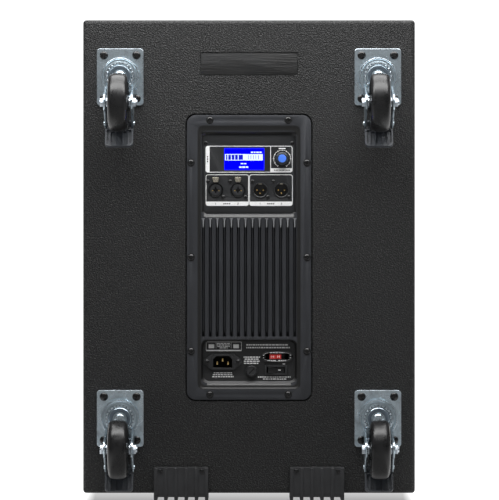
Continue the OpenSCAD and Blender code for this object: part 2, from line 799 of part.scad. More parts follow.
// Mains inlet: flange, socket and three flat contacts
module mains_inlet() {
    amp_at(inlet_pos, mains_y) {
        color(black_plastic) difference() {
            union() {
                linear_extrude(3) rounded(50, 22, 7);
                translate([0, 0, -18]) linear_extrude(18) square([28, 20], center = true);
            }
            translate([0, 0, -15]) linear_extrude(20)
                polygon([[-12.5, -8], [12.5, -8], [12.5, 4], [8.5, 8], [-8.5, 8], [-12.5, 4]]);
            for (x = sides) translate([x * inlet_screw_x, 0, -through]) cylinder(h = 5, r = 1.6);
        }
        color([0.75, 0.72, 0.6]) for (p = [[-7, -1], [7, -1], [0, 2.5]])
            translate([p[0] - 1, p[1] - 2, -16]) cube([2, 4, 13]);
    }
}

// Holder that the fuse cap turns in
module fuse_holder() {
    color(black_plastic) amp_at(fuse_pos, mains_y) difference() {
        union() {
            cylinder(h = 1.6, r = 8);
            translate([0, 0, -14]) cylinder(h = 14, r = 6);
        }
        translate([0, 0, -12]) cylinder(h = 14, r = 4.5 + run);
    }
}

// Slotted cap, turned a quarter to let the fuse out
module fuse_cap() {
    color(black_plastic) amp_at(fuse_pos, mains_y) difference() {
        union() {
            translate([0, 0, -10]) cylinder(h = 12, r = 4.5);
            translate([0, 0, 2]) cylinder(h = 3, r = 6.8);
        }
        rotate(45) translate([0, 0, 5]) cube([10, 1.4, 2.4], center = true);
    }
}

// Body of the voltage selector, with a slot for its slider
module voltage_selector() {
    color(black_plastic) amp_at(selector_pos, mains_y) difference() {
        union() {
            linear_extrude(1.5) rounded(40, 13.5, 6.7);
            translate([0, 0, -12]) linear_extrude(12) square([23, 9], center = true);
        }
        translate([0, 0, -6]) linear_extrude(10) square([20, 7], center = true);
        for (x = sides) translate([x * selector_screw_x, 0, -through]) cylinder(h = 4, r = 1.6);
    }
}

// Slider with a screwdriver slot
module selector_slider() {
    color([0.75, 0.1, 0.1]) amp_at(selector_pos, mains_y) difference() {
        translate([-9.7, -3.2, -5.6]) cube([15.2, 6.4, 6.4]);
        translate([-2.6, -3.4, 0]) cube([1.2, 6.8, 2]);
    }
}

// Frame of the power switch
module switch_housing() {
    color(black_plastic) amp_at(switch_pos, mains_y) difference() {
        union() {
            linear_extrude(2) rounded(28.7, 12.7, 1.2);
            translate([0, 0, -16]) linear_extrude(16) square([26, 10], center = true);
        }
        translate([0, 0, -13]) linear_extrude(17) square([24, 8.4], center = true);
        translate([0, 6, -1]) rotate([90, 0, 0]) cylinder(h = 12, r = rocker_pin_r + run);
    }
}

// Rocker: a shallow V that tips about an upright pin
module power_rocker() {
    color([0.1, 0.1, 0.1]) amp_at(switch_pos, mains_y) rotate([90, 0, 0]) {
        translate([0, -1, -4.7]) cylinder(h = 9.4, r = rocker_pin_r);
        translate([0, 0, -3.9]) linear_extrude(7.8) polygon([
            [-10.2, 5.3], [0, 1.6], [10.8, 1.6], [10.8, -2], [4, -7], [-4, -7], [-10, -2]
        ]);
    }
}

// Runs its children at one caster: +Z points out of the panel and +Y up, from the swivel axis
module caster_at(spot) {
    rear_at(spot[1] * caster_x, z_low + spot[2]) children();
}

// Mounting plates with the pressed upper race
module caster_plates() {
    color(zinc) for (spot = caster_spots) caster_at(spot) difference() {
        union() {
            linear_extrude(caster_plate_t) difference() {
                rounded(plate_size[0], plate_size[1], 4);
                for (x = sides, y = sides) translate([x * caster_holes[0] / 2, y * caster_holes[1] / 2])
                    hole_slot();
            }
            rotate_extrude() polygon([
                [kingpin_r - 1, caster_plate_t - 0.5], [23, caster_plate_t - 0.5], [21, 6], [19, 6.6], [12, 6.6],
                [11, 5], [kingpin_r - 1, 5]
            ]);
        }
        translate([0, 0, -through]) cylinder(h = 20, r = kingpin_r + 0.05);
    }
}

// One short slot, wider than it is high
module hole_slot() {
    r = caster_slot[1] / 2;
    square([caster_slot[0] - caster_slot[1], caster_slot[1]], center = true);
    for (x = sides) translate([x * (caster_slot[0] - caster_slot[1]) / 2, 0]) circle(r);
}

// Kingpins, each with its rivet head and the cap that holds the outer balls
module caster_kingpins() {
    color(zinc) for (spot = caster_spots) caster_at(spot) rotate_extrude() polygon([
        [0, 0.2], [kingpin_r, 0.2], [kingpin_r, 13], [14.6, 13], [14.9, 14.4], [13.6, 15.8],
        [10, 16.2], [8.8, 15.2], [7.2, 15.2], [6.6, 17.6], [5, 18.8], [0, 19.2]
    ]);
}

// Rings of balls that the crowns turn on, seen around the caps
module caster_ball_races() {
    balls = 20;
    color(zinc) for (spot = caster_spots) caster_at(spot) for (i = [0 : balls - 1])
        rotate(i * 360 / balls) translate([ball_ring_r, 0, crown_z[1] + gap + ball_r])
            sphere(ball_r, $fn = 24);
}

module caster_screws() {
    color([0.1, 0.1, 0.1]) for (spot = caster_spots, x = sides, y = sides)
        caster_at(spot) translate([x * caster_holes[0] / 2, y * caster_holes[1] / 2, caster_plate_t])
            screw(4.5, 2.6, 2.4, 17);
}

// Crown and two arms, with the bracket that holds the brake's pivot
module caster_fork() {
    arm_r = 11;
    pivot_r = 6;
    color(zinc) difference() {
        union() {
            // dished crown with a rolled rim and a raised race
            rotate_extrude() polygon([
                [kingpin_r, crown_z[0]], [crown_r, crown_z[0]], [crown_r + 0.8, crown_z[0] + 1],
                [crown_r + 0.4, crown_z[1] + 1.4], [crown_r - 1.4, crown_z[1] + 1.4],
                [crown_r - 2.2, crown_z[1]], [19.8, crown_z[1]], [19.4, crown_z[1] + 1.4],
                [18.4, crown_z[1] + 1.4], [18.2, crown_z[1]], [kingpin_r, crown_z[1]]
            ]);
            // neck between the arms
            translate([-arm_x - arm_t, -crown_r, crown_z[0]])
                cube([2 * (arm_x + arm_t), crown_r + neck_y, crown_z[1] - crown_z[0]]);
            for (side = sides) translate([side > 0 ? arm_x : -arm_x - arm_t, 0, 0]) rotate([90, 0, 90])
                linear_extrude(arm_t) {
                    polygon([
                        [neck_y, crown_z[0]], [neck_y, crown_z[1] + 6], [arm_r - trail, axle_out],
                        [-trail - 6, axle_out], [pedal_pivot[0] - pivot_r, pedal_pivot[1] + 3],
                        [pedal_pivot[0] - pivot_r, pedal_pivot[1] - 2], [-crown_r, crown_z[0]]
                    ]);
                    translate([-trail, axle_out]) circle(arm_r);
                    translate(pedal_pivot) circle(pivot_r);
                }
        }
        translate([0, 0, -through]) cylinder(h = 30, r = kingpin_r + run);
        translate([-30, -trail, axle_out]) rotate([0, 90, 0]) cylinder(h = 60, r = axle_r + 0.02);
    }
    // pin of the brake pedal
    color(zinc) translate([-arm_x - arm_t - 1.2, pedal_pivot[0], pedal_pivot[1]]) rotate([0, 90, 0])
        cylinder(h = 2 * (arm_x + arm_t + 1.2), r = pedal_pin_r);
}

// Bolt through the arms and the wheel, with a head on the left and a nut on the right
module caster_axle() {
    reach = arm_x + arm_t;
    color([0.6, 0.62, 0.65]) translate([0, -trail, axle_out]) rotate([0, 90, 0]) {
        translate([0, 0, -reach - 4.4]) cylinder(h = 4.4, r = 6.2, $fn = 6);
        translate([0, 0, -reach]) cylinder(h = 2 * reach, r = axle_r);
        translate([0, 0, reach]) cylinder(h = 4.2, r = 6.2, $fn = 6);
        translate([0, 0, reach + 4.2]) cylinder(h = 1.6, r = axle_r - 0.4);
        for (side = sides) translate([0, 0, side * (wheel_w / 2 + 1.9) - 1.3]) difference() {
            cylinder(h = 2.6, r = 6.4);
            translate([0, 0, -through]) cylinder(h = 5, r = axle_r - 0.2);
        }
    }
}

// Wheel: a moulded hub under a tread with rounded shoulders
module caster_wheel() {
    r = wheel_d / 2;
    w = wheel_w / 2;
    shoulder = 5;
    color([0.12, 0.12, 0.13]) translate([0, -trail, axle_out]) rotate([0, 90, 0]) rotate_extrude($fn = 96)
        difference() {
            union() {
                translate([axle_r + run, -w]) square([8, 2 * w]);
                translate([axle_r + run, -w + 4]) square([r - 12, 2 * w - 8]);
                translate([r - 12, -w]) square([12 - shoulder, 2 * w]);
                translate([r - shoulder - 1, -w + shoulder]) square([shoulder + 1, 2 * w - 2 * shoulder]);
                for (y = sides) translate([r - shoulder, y * (w - shoulder)]) circle(shoulder);
            }
        }
}

// Brake pedal: a barrel on the pivot, a shoe towards the tread and a broad plate for the foot
module caster_pedal() {
    barrel_r = 4.5;
    plate_w = 36;
    thick = 3.4;
    lever = [pedal_tip[0] - pedal_pivot[0], pedal_tip[1] - pedal_pivot[1]];
    slope = atan2(lever[1], lever[0]);
    reach = norm(lever);
    inner = arm_x - 0.5;
    color([0.16, 0.17, 0.19]) translate([0, pedal_pivot[0], pedal_pivot[1]]) rotate([90, 0, 90])
        difference() {
            union() {
                translate([0, 0, -inner]) cylinder(h = 2 * inner, r = barrel_r);
                // lever between the arms
                translate([0, 0, -inner]) linear_extrude(2 * inner) rotate(slope)
                    translate([0, -thick]) square([9, thick * 1.6]);
                // plate beyond the arms, with five ribs across it
                translate([0, 0, -plate_w / 2]) linear_extrude(plate_w) rotate(slope) {
                    translate([8, -thick]) square([reach - 8, thick]);
                    translate([reach, -thick / 2]) circle(thick / 2);
                }
                for (i = [-2 : 2]) translate([0, 0, i * 6.6 - 1]) linear_extrude(2) rotate(slope)
                    translate([8, -through]) square([reach - 9, 2.2]);
                // shoe
                translate([0, 0, -wheel_w / 2 + 2]) linear_extrude(wheel_w - 4)
                    polygon([[-3, 2], [-8, 2], [-7.5, 8.6], [-5.4, 9.8], [-3, 8.6]]);
            }
            translate([0, 0, -plate_w]) cylinder(h = 2 * plate_w, r = pedal_pin_r + run);
        }
}

module caster_fork_tl() { caster_at(caster_spots[0]) caster_fork(); }
module caster_axle_tl() { caster_at(caster_spots[0]) caster_axle(); }
module caster_wheel_tl() { caster_at(caster_spots[0]) caster_wheel(); }
module caster_pedal_tl() { caster_at(caster_spots[0]) caster_pedal(); }
module caster_fork_tr() { caster_at(caster_spots[1]) caster_fork(); }
module caster_axle_tr() { caster_at(caster_spots[1]) caster_axle(); }
module caster_wheel_tr() { caster_at(caster_spots[1]) caster_wheel(); }
module caster_pedal_tr() { caster_at(caster_spots[1]) caster_pedal(); }
module caster_fork_bl() { caster_at(caster_spots[2]) caster_fork(); }
module caster_axle_bl() { caster_at(caster_spots[2]) caster_axle(); }
module caster_wheel_bl() { caster_at(caster_spots[2]) caster_wheel(); }
module caster_pedal_bl() { caster_at(caster_spots[2]) caster_pedal(); }
module caster_fork_br() { caster_at(caster_spots[3]) caster_fork(); }
module caster_axle_br() { caster_at(caster_spots[3]) caster_axle(); }
module caster_wheel_br() { caster_at(caster_spots[3]) caster_wheel(); }
module caster_pedal_br() { caster_at(caster_spots[3]) caster_pedal(); }

top_panel();
bottom_panel();
left_panel();
right_panel();
rear_panel();
front_baffle();
window_brace();
port_tubes();
grille();
side_handles();
pole_socket();
feet();
case_screws();
woofer_basket();
woofer_magnet();
woofer_surround();
woofer_spider();
woofer_screws();
woofer_cone();
voice_coil();
amp_heatsink();
amp_gasket();
amp_screws();
control_plate();
amp_board();
mains_transformer();
display_module();
input_jacks();
output_jacks();
mains_inlet();
fuse_holder();
voltage_selector();
switch_housing();
encoder_shaft();
encoder_knob();
input_latch_left();
input_latch_right();
fuse_cap();
selector_slider();
power_rocker();
caster_plates();
caster_kingpins();
caster_ball_races();
caster_screws();
caster_fork_tl();
caster_axle_tl();
caster_wheel_tl();
caster_pedal_tl();
caster_fork_tr();
caster_axle_tr();
caster_wheel_tr();
caster_pedal_tr();
caster_fork_bl();
caster_axle_bl();
caster_wheel_bl();
caster_pedal_bl();
caster_fork_br();
caster_axle_br();
caster_wheel_br();
caster_pedal_br();
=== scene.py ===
"""Portable powered subwoofer seen from its caster side: materials and fine pieces around the CAD."""
import json
import math
import random

import bmesh
import bpy
from mathutils import Matrix, Vector


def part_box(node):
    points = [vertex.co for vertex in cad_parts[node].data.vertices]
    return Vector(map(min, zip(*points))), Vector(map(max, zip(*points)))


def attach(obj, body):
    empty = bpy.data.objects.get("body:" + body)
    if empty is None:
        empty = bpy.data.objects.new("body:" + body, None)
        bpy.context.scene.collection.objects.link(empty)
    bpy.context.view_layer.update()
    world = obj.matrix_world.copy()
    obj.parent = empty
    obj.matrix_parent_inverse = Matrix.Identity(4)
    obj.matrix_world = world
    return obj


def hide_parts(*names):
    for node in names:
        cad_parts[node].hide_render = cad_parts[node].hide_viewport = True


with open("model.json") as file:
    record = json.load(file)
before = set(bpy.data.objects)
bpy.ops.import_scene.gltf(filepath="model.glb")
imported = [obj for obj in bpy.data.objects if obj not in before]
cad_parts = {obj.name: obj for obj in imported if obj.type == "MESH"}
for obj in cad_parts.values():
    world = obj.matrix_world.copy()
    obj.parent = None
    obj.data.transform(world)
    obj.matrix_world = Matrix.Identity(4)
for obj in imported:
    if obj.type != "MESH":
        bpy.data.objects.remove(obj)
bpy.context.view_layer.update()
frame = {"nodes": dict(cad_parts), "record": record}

MM = 0.001
NODES = frame["nodes"]
CASTERS = ("tl", "tr", "bl", "br")


# ---------------------------------------------------------------- places, all from the frame

def middle(node):
    low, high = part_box(node)
    return (low + high) / 2


def size(node):
    low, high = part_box(node)
    return high - low


REAR_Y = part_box("rear_panel")[0].y
AMP = middle("amp_gasket")
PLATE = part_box("control_plate")[0].y
TRAY_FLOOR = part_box("mains_inlet")[0].y + 3 * MM


def joint(name):
    return next(j for j in frame["record"]["behaviour"]["joints"] if j["name"] == name)


def pivot(name):
    return Vector(joint(name)["pos_m"])


# ---------------------------------------------------------------- materials

class Look:
    """A procedural material under construction."""

    def __init__(self, name):
        self.material = bpy.data.materials.new(name)
        self.material.use_nodes = True
        self.tree = self.material.node_tree
        self.shader = self.tree.nodes["Principled BSDF"]
        self.place = self.node("ShaderNodeTexCoord").outputs["Object"]

    def node(self, kind, **values):
        made = self.tree.nodes.new(kind)
        for key, value in values.items():
            setattr(made, key, value)
        return made

    def link(self, source, target):
        self.tree.links.new(source, target)

    def set(self, **values):
        for key, value in values.items():
            self.shader.inputs[key.replace("_", " ")].default_value = value
        return self

    def noise(self, scale, detail=3.0, rough=0.55, stretch=None):
        texture = self.node("ShaderNodeTexNoise")
        texture.inputs["Scale"].default_value = scale
        texture.inputs["Detail"].default_value = detail
        texture.inputs["Roughness"].default_value = rough
        source = self.place
        if stretch:
            mapping = self.node("ShaderNodeMapping")
            mapping.inputs["Scale"].default_value = stretch
            self.link(source, mapping.inputs["Vector"])
            source = mapping.outputs["Vector"]
        self.link(source, texture.inputs["Vector"])
        return texture.outputs["Fac"]

    def cells(self, scale):
        texture = self.node("ShaderNodeTexVoronoi")
        texture.inputs["Scale"].default_value = scale
        self.link(self.place, texture.inputs["Vector"])
        return texture.outputs["Distance"]

    def ramp(self, source, stops):
        """stops: (position, colour) pairs, where a colour is a number or three numbers."""
        made = self.node("ShaderNodeValToRGB")
        elements = made.color_ramp.elements
        while len(elements) < len(stops):
            elements.new(0.5)
        for element, (position, colour) in zip(elements, stops):
            element.position = position
            rgb = colour if isinstance(colour, tuple) else (colour, colour, colour)
            element.color = (*rgb, 1.0)
        self.link(source, made.inputs["Fac"])
        return made.outputs["Color"]

    def mix(self, factor, a, b, mode="MIX"):
        made = self.node("ShaderNodeMix", data_type="RGBA", blend_type=mode)
        if isinstance(factor, float):
            made.inputs["Factor"].default_value = factor
        else:
            self.link(factor, made.inputs["Factor"])
        for socket, value in ((made.inputs[6], a), (made.inputs[7], b)):
            if isinstance(value, tuple):
                socket.default_value = (*value, 1.0)
            else:
                self.link(value, socket)
        return made.outputs[2]

    def colour(self, source):
        self.link(source, self.shader.inputs["Base Color"])
        return self

    def rough(self, source):
        self.link(source, self.shader.inputs["Roughness"])
        return self

    def bump(self, source, distance, strength=1.0):
        made = self.node("ShaderNodeBump")
        made.inputs["Distance"].default_value = distance
        made.inputs["Strength"].default_value = strength
        self.link(source, made.inputs["Height"])
        previous = self.shader.inputs["Normal"].links
        if previous:
            self.link(previous[0].from_socket, made.inputs["Normal"])
        self.link(made.outputs["Normal"], self.shader.inputs["Normal"])
        return self


def tint(colour, amount):
    return tuple(channel * amount for channel in colour)


def textured_paint():
    """Sprayed, pebbled black paint on plywood, with worn, lighter peaks."""
    look = Look("cabinet_paint").set(Roughness=0.6, Specular_IOR_Level=0.4)
    pebble = look.noise(560, 2.0, 0.6)
    patch = look.noise(9, 3.0, 0.5)
    peaks = look.ramp(pebble, [(0.4, 0.0035), (0.55, 0.0075), (0.68, 0.046)])
    look.colour(look.mix(look.ramp(patch, [(0.35, 0.0), (0.7, 0.3)]), peaks, (0.0068, 0.0074, 0.0084)))
    look.rough(look.ramp(pebble, [(0.35, 0.62), (0.7, 0.36)]))
    look.bump(pebble, 0.0016).bump(look.noise(300, 2.0), 0.0004)
    return look.material


def brushed_paint():
    """Black paint laid on with a stiff brush: long horizontal ridges."""
    look = Look("brushed_paint").set(Roughness=0.45, Specular_IOR_Level=0.4)
    ridges = look.noise(620, 3.0, 0.6, (0.06, 1, 1))
    wear_and_highlight = look.noise(30, 2.0, 0.5, (0.5, 1, 2))
    streaks = look.ramp(ridges, [(0.35, 0.005), (0.7, 0.02)])
    look.colour(look.mix(look.ramp(wear_and_highlight, [(0.42, 0.0), (0.6, 1.0)]), (0.0065, 0.007, 0.0075), streaks))
    look.rough(look.ramp(wear_and_highlight, [(0.4, 0.6), (0.6, 0.42)]))
    look.bump(ridges, 0.0004)
    return look.material


def powder_coat(name, colour, gloss=0.5, grain=2600, depth=0.00012):
    """Fine-grained powder coat on metal."""
    look = Look(name).set(Specular_IOR_Level=0.5)
    grains = look.noise(grain, 2.0)
    cloud = look.noise(30, 3.0)
    base = look.ramp(cloud, [(0.3, tint(colour, 0.82)), (0.7, tint(colour, 1.15))])
    look.colour(look.mix(look.ramp(grains, [(0.5, 0.0), (0.75, 0.3)]), base, tint(colour, 2.0)))
    look.rough(look.ramp(grains, [(0.3, gloss + 0.1), (0.7, gloss - 0.08)]))
    look.bump(grains, depth)
    return look.material


def top_lit_cast_wall():
    """Powder coat with a painted highlight: its colour turns lighter wherever the casting faces upwards,
    towards the overhead light.
    """
    look = Look("top_lit_cast_wall").set(Specular_IOR_Level=0.5)
    facing = look.node("ShaderNodeSeparateXYZ")
    look.link(look.node("ShaderNodeNewGeometry").outputs["Normal"], facing.inputs["Vector"])
    # painted highlight: upward faces take the light colour, the other faces keep the dark one
    up = look.ramp(facing.outputs["Z"], [(0.2, 0.0), (0.85, 1.0)])
    grains = look.noise(2600, 2.0)
    dark = look.ramp(grains, [(0.35, 0.007), (0.7, 0.012)])
    wear_and_highlight = look.ramp(grains, [(0.35, 0.075), (0.7, 0.12)])
    look.colour(look.mix(up, dark, wear_and_highlight))
    look.rough(look.ramp(grains, [(0.3, 0.5), (0.7, 0.36)]))
    look.bump(grains, 0.00006)
    return look.material


def moulded_plastic(name, colour, gloss=0.45, depth=0.00006, grain=3200):
    """Injection-moulded plastic with a spark-eroded grain and a faint flow variation."""
    look = Look(name).set(Specular_IOR_Level=0.5)
    grains = look.cells(grain)
    flow = look.noise(40, 4.0, 0.6, (1, 1, 0.35))
    look.colour(look.ramp(flow, [(0.3, tint(colour, 0.8)), (0.72, tint(colour, 1.25))]))
    look.rough(look.ramp(flow, [(0.3, gloss + 0.06), (0.7, gloss - 0.06)]))
    look.bump(grains, depth)
    return look.material


def plated(name, colour, gloss=0.3, streak=(1, 1, 1), depth=0.00004):
    """Bright plated steel: cloudy passivation, fine drawing lines and dulled spots."""
    look = Look(name).set(Metallic=1.0)
    cloud = look.noise(85, 4.0, 0.62)
    lines = look.noise(900, 3.0, 0.6, streak)
    body = look.ramp(cloud, [
        (0.28, tint(colour, 0.62)), (0.5, colour), (0.72, tuple(min(1.0, c * 1.18) for c in colour))
    ])
    look.colour(look.mix(look.ramp(lines, [(0.45, 0.0), (0.75, 0.22)]), body, tint(colour, 0.5)))
    look.rough(look.ramp(cloud, [(0.3, gloss + 0.12), (0.7, gloss - 0.08)]))
    look.bump(lines, depth).bump(cloud, 0.00012)
    return look.material


def rubber(name, colour, gloss=0.5, grain=1500, depth=0.00008):
    """Moulded rubber with dusty high spots."""
    look = Look(name).set(Specular_IOR_Level=0.45)
    grains = look.noise(grain, 3.0)
    dust = look.noise(60, 5.0, 0.65)
    base = look.ramp(dust, [(0.35, tint(colour, 0.85)), (0.72, tint(colour, 1.5))])
    look.colour(look.mix(look.ramp(grains, [(0.5, 0.0), (0.8, 0.25)]), base, tint(colour, 2.2)))
    look.rough(look.ramp(dust, [(0.3, gloss - 0.06), (0.7, gloss + 0.12)]))
    look.bump(grains, depth)
    return look.material


def bare_plywood():
    look = Look("bare_plywood").set(Roughness=0.6)
    grain = look.noise(60, 5.0, 0.6, (1.0, 8.0, 0.15))
    look.colour(look.ramp(grain, [(0.3, (0.36, 0.24, 0.13)), (0.7, (0.62, 0.47, 0.3))]))
    look.bump(grain, 0.0002)
    return look.material


def paper_cone():
    look = Look("cone_paper").set(Roughness=0.75)
    fibres = look.noise(420, 6.0, 0.7)
    look.colour(look.ramp(fibres, [(0.35, 0.012), (0.7, 0.05)]))
    look.bump(fibres, 0.0003)
    return look.material


def woven(name, colour, scale):
    look = Look(name).set(Roughness=0.85)
    warp = look.node("ShaderNodeTexWave", bands_direction="X")
    weft = look.node("ShaderNodeTexWave", bands_direction="Z")
    for wave in (warp, weft):
        wave.inputs["Scale"].default_value = scale
        look.link(look.place, wave.inputs["Vector"])
    crossed = look.mix(0.5, warp.outputs["Color"], weft.outputs["Color"], "MULTIPLY")
    look.colour(look.mix(crossed, tint(colour, 0.55), colour))
    look.bump(crossed, 0.0002)
    return look.material


def lit(name, colour, strength, specks=0.12):
    """A backlit plastic or display surface, a little uneven like a real diffuser."""
    look = Look(name).set(Roughness=0.25, Emission_Strength=strength)
    cloud = look.noise(70, 2.0)
    shade = look.ramp(cloud, [(0.3, tint(colour, 1.0 - specks)), (0.7, colour)])
    look.colour(shade)
    look.link(shade, look.shader.inputs["Emission Color"])
    return look.material


def printed(name, value, gloss=0.5):
    """Screen-printed ink."""
    look = Look(name).set(Roughness=gloss)
    ink = look.noise(900, 3.0)
    look.colour(look.ramp(ink, [(0.3, value * 0.8), (0.6, value)]))
    look.bump(ink, 0.00002)
    return look.material


PAINT = textured_paint()
BRUSHED_PAINT = brushed_paint()
CASTING = powder_coat("amp_casting", (0.024, 0.0258, 0.0305), 0.5)
TOP_LIT_CAST_WALL = top_lit_cast_wall()
# light powder coat: painted highlight on the fin heads
FIN_HEAD_HIGHLIGHT = powder_coat("fin_head_painted_highlight", (0.2, 0.205, 0.215), 0.34, 3000, 0.00005)
CONTROL = powder_coat("control_paint", (0.014, 0.0148, 0.0165), 0.45, 3400, 0.00006)
# darker copy of the powder coat: painted shade on the floor of the sunken mains tray
TRAY_PAINTED_SHADE = powder_coat("tray_painted_shade", (0.008, 0.0083, 0.009), 0.5, 3400, 0.00005)
GRILLE = powder_coat("grille_steel", (0.016, 0.016, 0.017), 0.45)
BLACK_STEEL = powder_coat("black_steel", (0.02, 0.02, 0.021), 0.36, 3000, 0.00005)
SCREW = powder_coat("screw_black", (0.006, 0.006, 0.0065), 0.2, 4000, 0.00003)
BASKET = powder_coat("basket_steel", (0.03, 0.03, 0.032), 0.5)
BLACK_PLASTIC = moulded_plastic("black_plastic", (0.018, 0.018, 0.019), 0.42)
GLOSS_PLASTIC = moulded_plastic("gloss_plastic", (0.006, 0.006, 0.0065), 0.22, 0.00002)
JACK_PLASTIC = moulded_plastic("jack_plastic", (0.026, 0.027, 0.029), 0.28, 0.00003)
PEDAL_PLASTIC = moulded_plastic("pedal_plastic", (0.05, 0.056, 0.066), 0.4)
KNOB_PLASTIC = moulded_plastic("knob_plastic", (0.02, 0.026, 0.036), 0.35, 0.00003)
RED_PLASTIC = moulded_plastic("selector_red", (0.62, 0.035, 0.03), 0.3, 0.00002)
FOOT_RUBBER = rubber("foot_rubber", (0.02, 0.0205, 0.022), 0.55)
TYRE = rubber("wheel_rubber", (0.009, 0.009, 0.0095), 0.27, 700, 0.00002)
HUB = moulded_plastic("wheel_hub", (0.03, 0.031, 0.034), 0.4)
SURROUND = rubber("surround_rubber", (0.012, 0.012, 0.012), 0.4)
FOAM = rubber("gasket_foam", (0.02, 0.02, 0.02), 0.85, 2200, 0.0003)
ZINC = plated("zinc_plate", (0.58, 0.67, 0.73), 0.3)
# lighter, glossier copy of the zinc, used as a painted highlight on rolled rims, the crown bead, the balls and
# the axles
ZINC_HIGHLIGHT = plated("zinc_painted_highlight", (0.66, 0.72, 0.78), 0.27)
# darker copy of the zinc, used as painted shade in the crown's slope, the dimples and the sunk ring round the
# king pin
ZINC_PAINTED_SHADE = plated("zinc_painted_shade", (0.2, 0.25, 0.3), 0.38)
NICKEL = plated("latch_steel", (0.62, 0.58, 0.48), 0.26, (1, 1, 14))
BRASS = plated("gold_contact", (0.83, 0.6, 0.25), 0.22)
COPPER = plated("coil_wire", (0.7, 0.36, 0.16), 0.35, (1, 30, 1))
FERRITE = powder_coat("magnet_ferrite", (0.06, 0.06, 0.065), 0.6, 1200, 0.0002)
PLYWOOD = bare_plywood()
PAPER = paper_cone()
SPIDER = woven("spider_cloth", (0.42, 0.28, 0.11), 2400)
BOARD = moulded_plastic("circuit_board", (0.02, 0.12, 0.05), 0.3)
INK = printed("white_ink", 0.92)
FAINT_INK = printed("faint_ink", 0.8)
DARK_INK = printed("dark_ink", 0.02)
INLET_PLASTIC = moulded_plastic("inlet_plastic", (0.022, 0.0225, 0.024), 0.38, 0.00003)
# black used as painted shadow inside slots, the inlet socket, screw recesses and screw wells
PAINTED_SHADOW = printed("slot_shadow", 0.004, 0.9)
LCD_BLUE = lit("display_blue", (0.0, 0.0, 0.95), 0.9)
LCD_EDGE = lit("display_edge", (0.01, 0.03, 1.0), 1.0)
LCD_WHITE = lit("display_white", (0.55, 0.66, 1.0), 0.72)
LCD_DARK = lit("display_dark", (0.002, 0.005, 0.42), 0.5)
KNOB_LIGHT = lit("knob_light", (0.05, 0.14, 0.55), 0.7)

CAD_LOOKS = {
    PAINT: ["top_panel", "bottom_panel", "left_panel", "right_panel", "rear_panel", "front_baffle"],
    PLYWOOD: ["window_brace"],
    BLACK_PLASTIC: ["port_tubes", "side_handles", "fuse_holder", "fuse_cap", "voltage_selector",
                    "switch_housing", "mains_inlet"],
    FOOT_RUBBER: ["feet"],
    BLACK_STEEL: ["pole_socket"],
    SCREW: ["case_screws", "woofer_screws", "amp_screws", "caster_screws"],
    BASKET: ["woofer_basket"],
    FERRITE: ["woofer_magnet"],
    SURROUND: ["woofer_surround"],
    SPIDER: ["woofer_spider"],
    PAPER: ["woofer_cone"],
    COPPER: ["voice_coil", "mains_transformer"],
    CASTING: ["amp_heatsink"],
    FOAM: ["amp_gasket"],
    CONTROL: ["control_plate"],
    BOARD: ["amp_board"],
    LCD_BLUE: ["display_module"],
    JACK_PLASTIC: ["input_jacks"],
    GLOSS_PLASTIC: ["output_jacks", "power_rocker"],
    NICKEL: ["input_latch_left", "input_latch_right", "encoder_shaft"],
    KNOB_PLASTIC: ["encoder_knob"],
    RED_PLASTIC: ["selector_slider"],
    ZINC: ["caster_plates", "caster_kingpins", *(f"caster_fork_{c}" for c in CASTERS)],
    ZINC_HIGHLIGHT: ["caster_ball_races", *(f"caster_axle_{c}" for c in CASTERS)],
    TYRE: [f"caster_wheel_{c}" for c in CASTERS],
    PEDAL_PLASTIC: [f"caster_pedal_{c}" for c in CASTERS],
}
for look, names in CAD_LOOKS.items():
    for name in names:
        data = NODES[name].data
        data.materials.clear()
        data.materials.append(look)


# ---------------------------------------------------------------- mesh helpers

def smooth(data, angle=32):
    for face in data.polygons:
        face.use_smooth = True
    data.set_sharp_from_angle(angle=math.radians(angle))


def piece(name, mesh, look, body="cabinet", replaces=(), angle=32):
    """Makes an object of a bmesh that rides on a body. look may be one material or several."""
    data = bpy.data.meshes.new(name)
    bmesh.ops.remove_doubles(mesh, verts=mesh.verts, dist=0.002 * MM)
    bmesh.ops.recalc_face_normals(mesh, faces=mesh.faces)
    mesh.to_mesh(data)
    mesh.free()
    smooth(data, angle)
    for material in look if isinstance(look, (list, tuple)) else [look]:
        data.materials.append(material)
    made = bpy.data.objects.new(name, data)
    bpy.context.scene.collection.objects.link(made)
    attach(made, body)
    if replaces:
        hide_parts(*replaces)
    return made


def softened(node, width, look, body="cabinet", angle=32):
    """A copy of a CAD node with its hard edges rounded by width, in mm, standing in for the node."""
    mesh = bmesh.new()
    mesh.from_mesh(NODES[node].data)
    bmesh.ops.remove_doubles(mesh, verts=mesh.verts, dist=0.01 * MM)
    bmesh.ops.dissolve_limit(
        mesh, angle_limit=math.radians(0.6), verts=mesh.verts, edges=mesh.edges
    )
    made = piece(node + "_soft", mesh, look, body, (node,), angle)
    bevel = made.modifiers.new("edges", "BEVEL")
    bevel.width = width * MM
    bevel.segments = 2
    bevel.limit_method = "ANGLE"
    bevel.angle_limit = math.radians(angle)
    bevel.use_clamp_overlap = True
    apply_modifiers(made, angle)


def apply_modifiers(made, angle=32):
    ready = made.evaluated_get(bpy.context.evaluated_depsgraph_get())
    data = bpy.data.meshes.new_from_object(ready)
    made.modifiers.clear()
    made.data = data
    smooth(data, angle)


def box(mesh, low, high):
    """A closed box between two corners."""
    made = bmesh.ops.create_cube(mesh, size=1.0)["verts"]
    low, high = Vector(low), Vector(high)
    for vert in made:
        vert.co = Vector(a + (v + 0.5) * (b - a) for a, b, v in zip(low, high, vert.co))
    return made


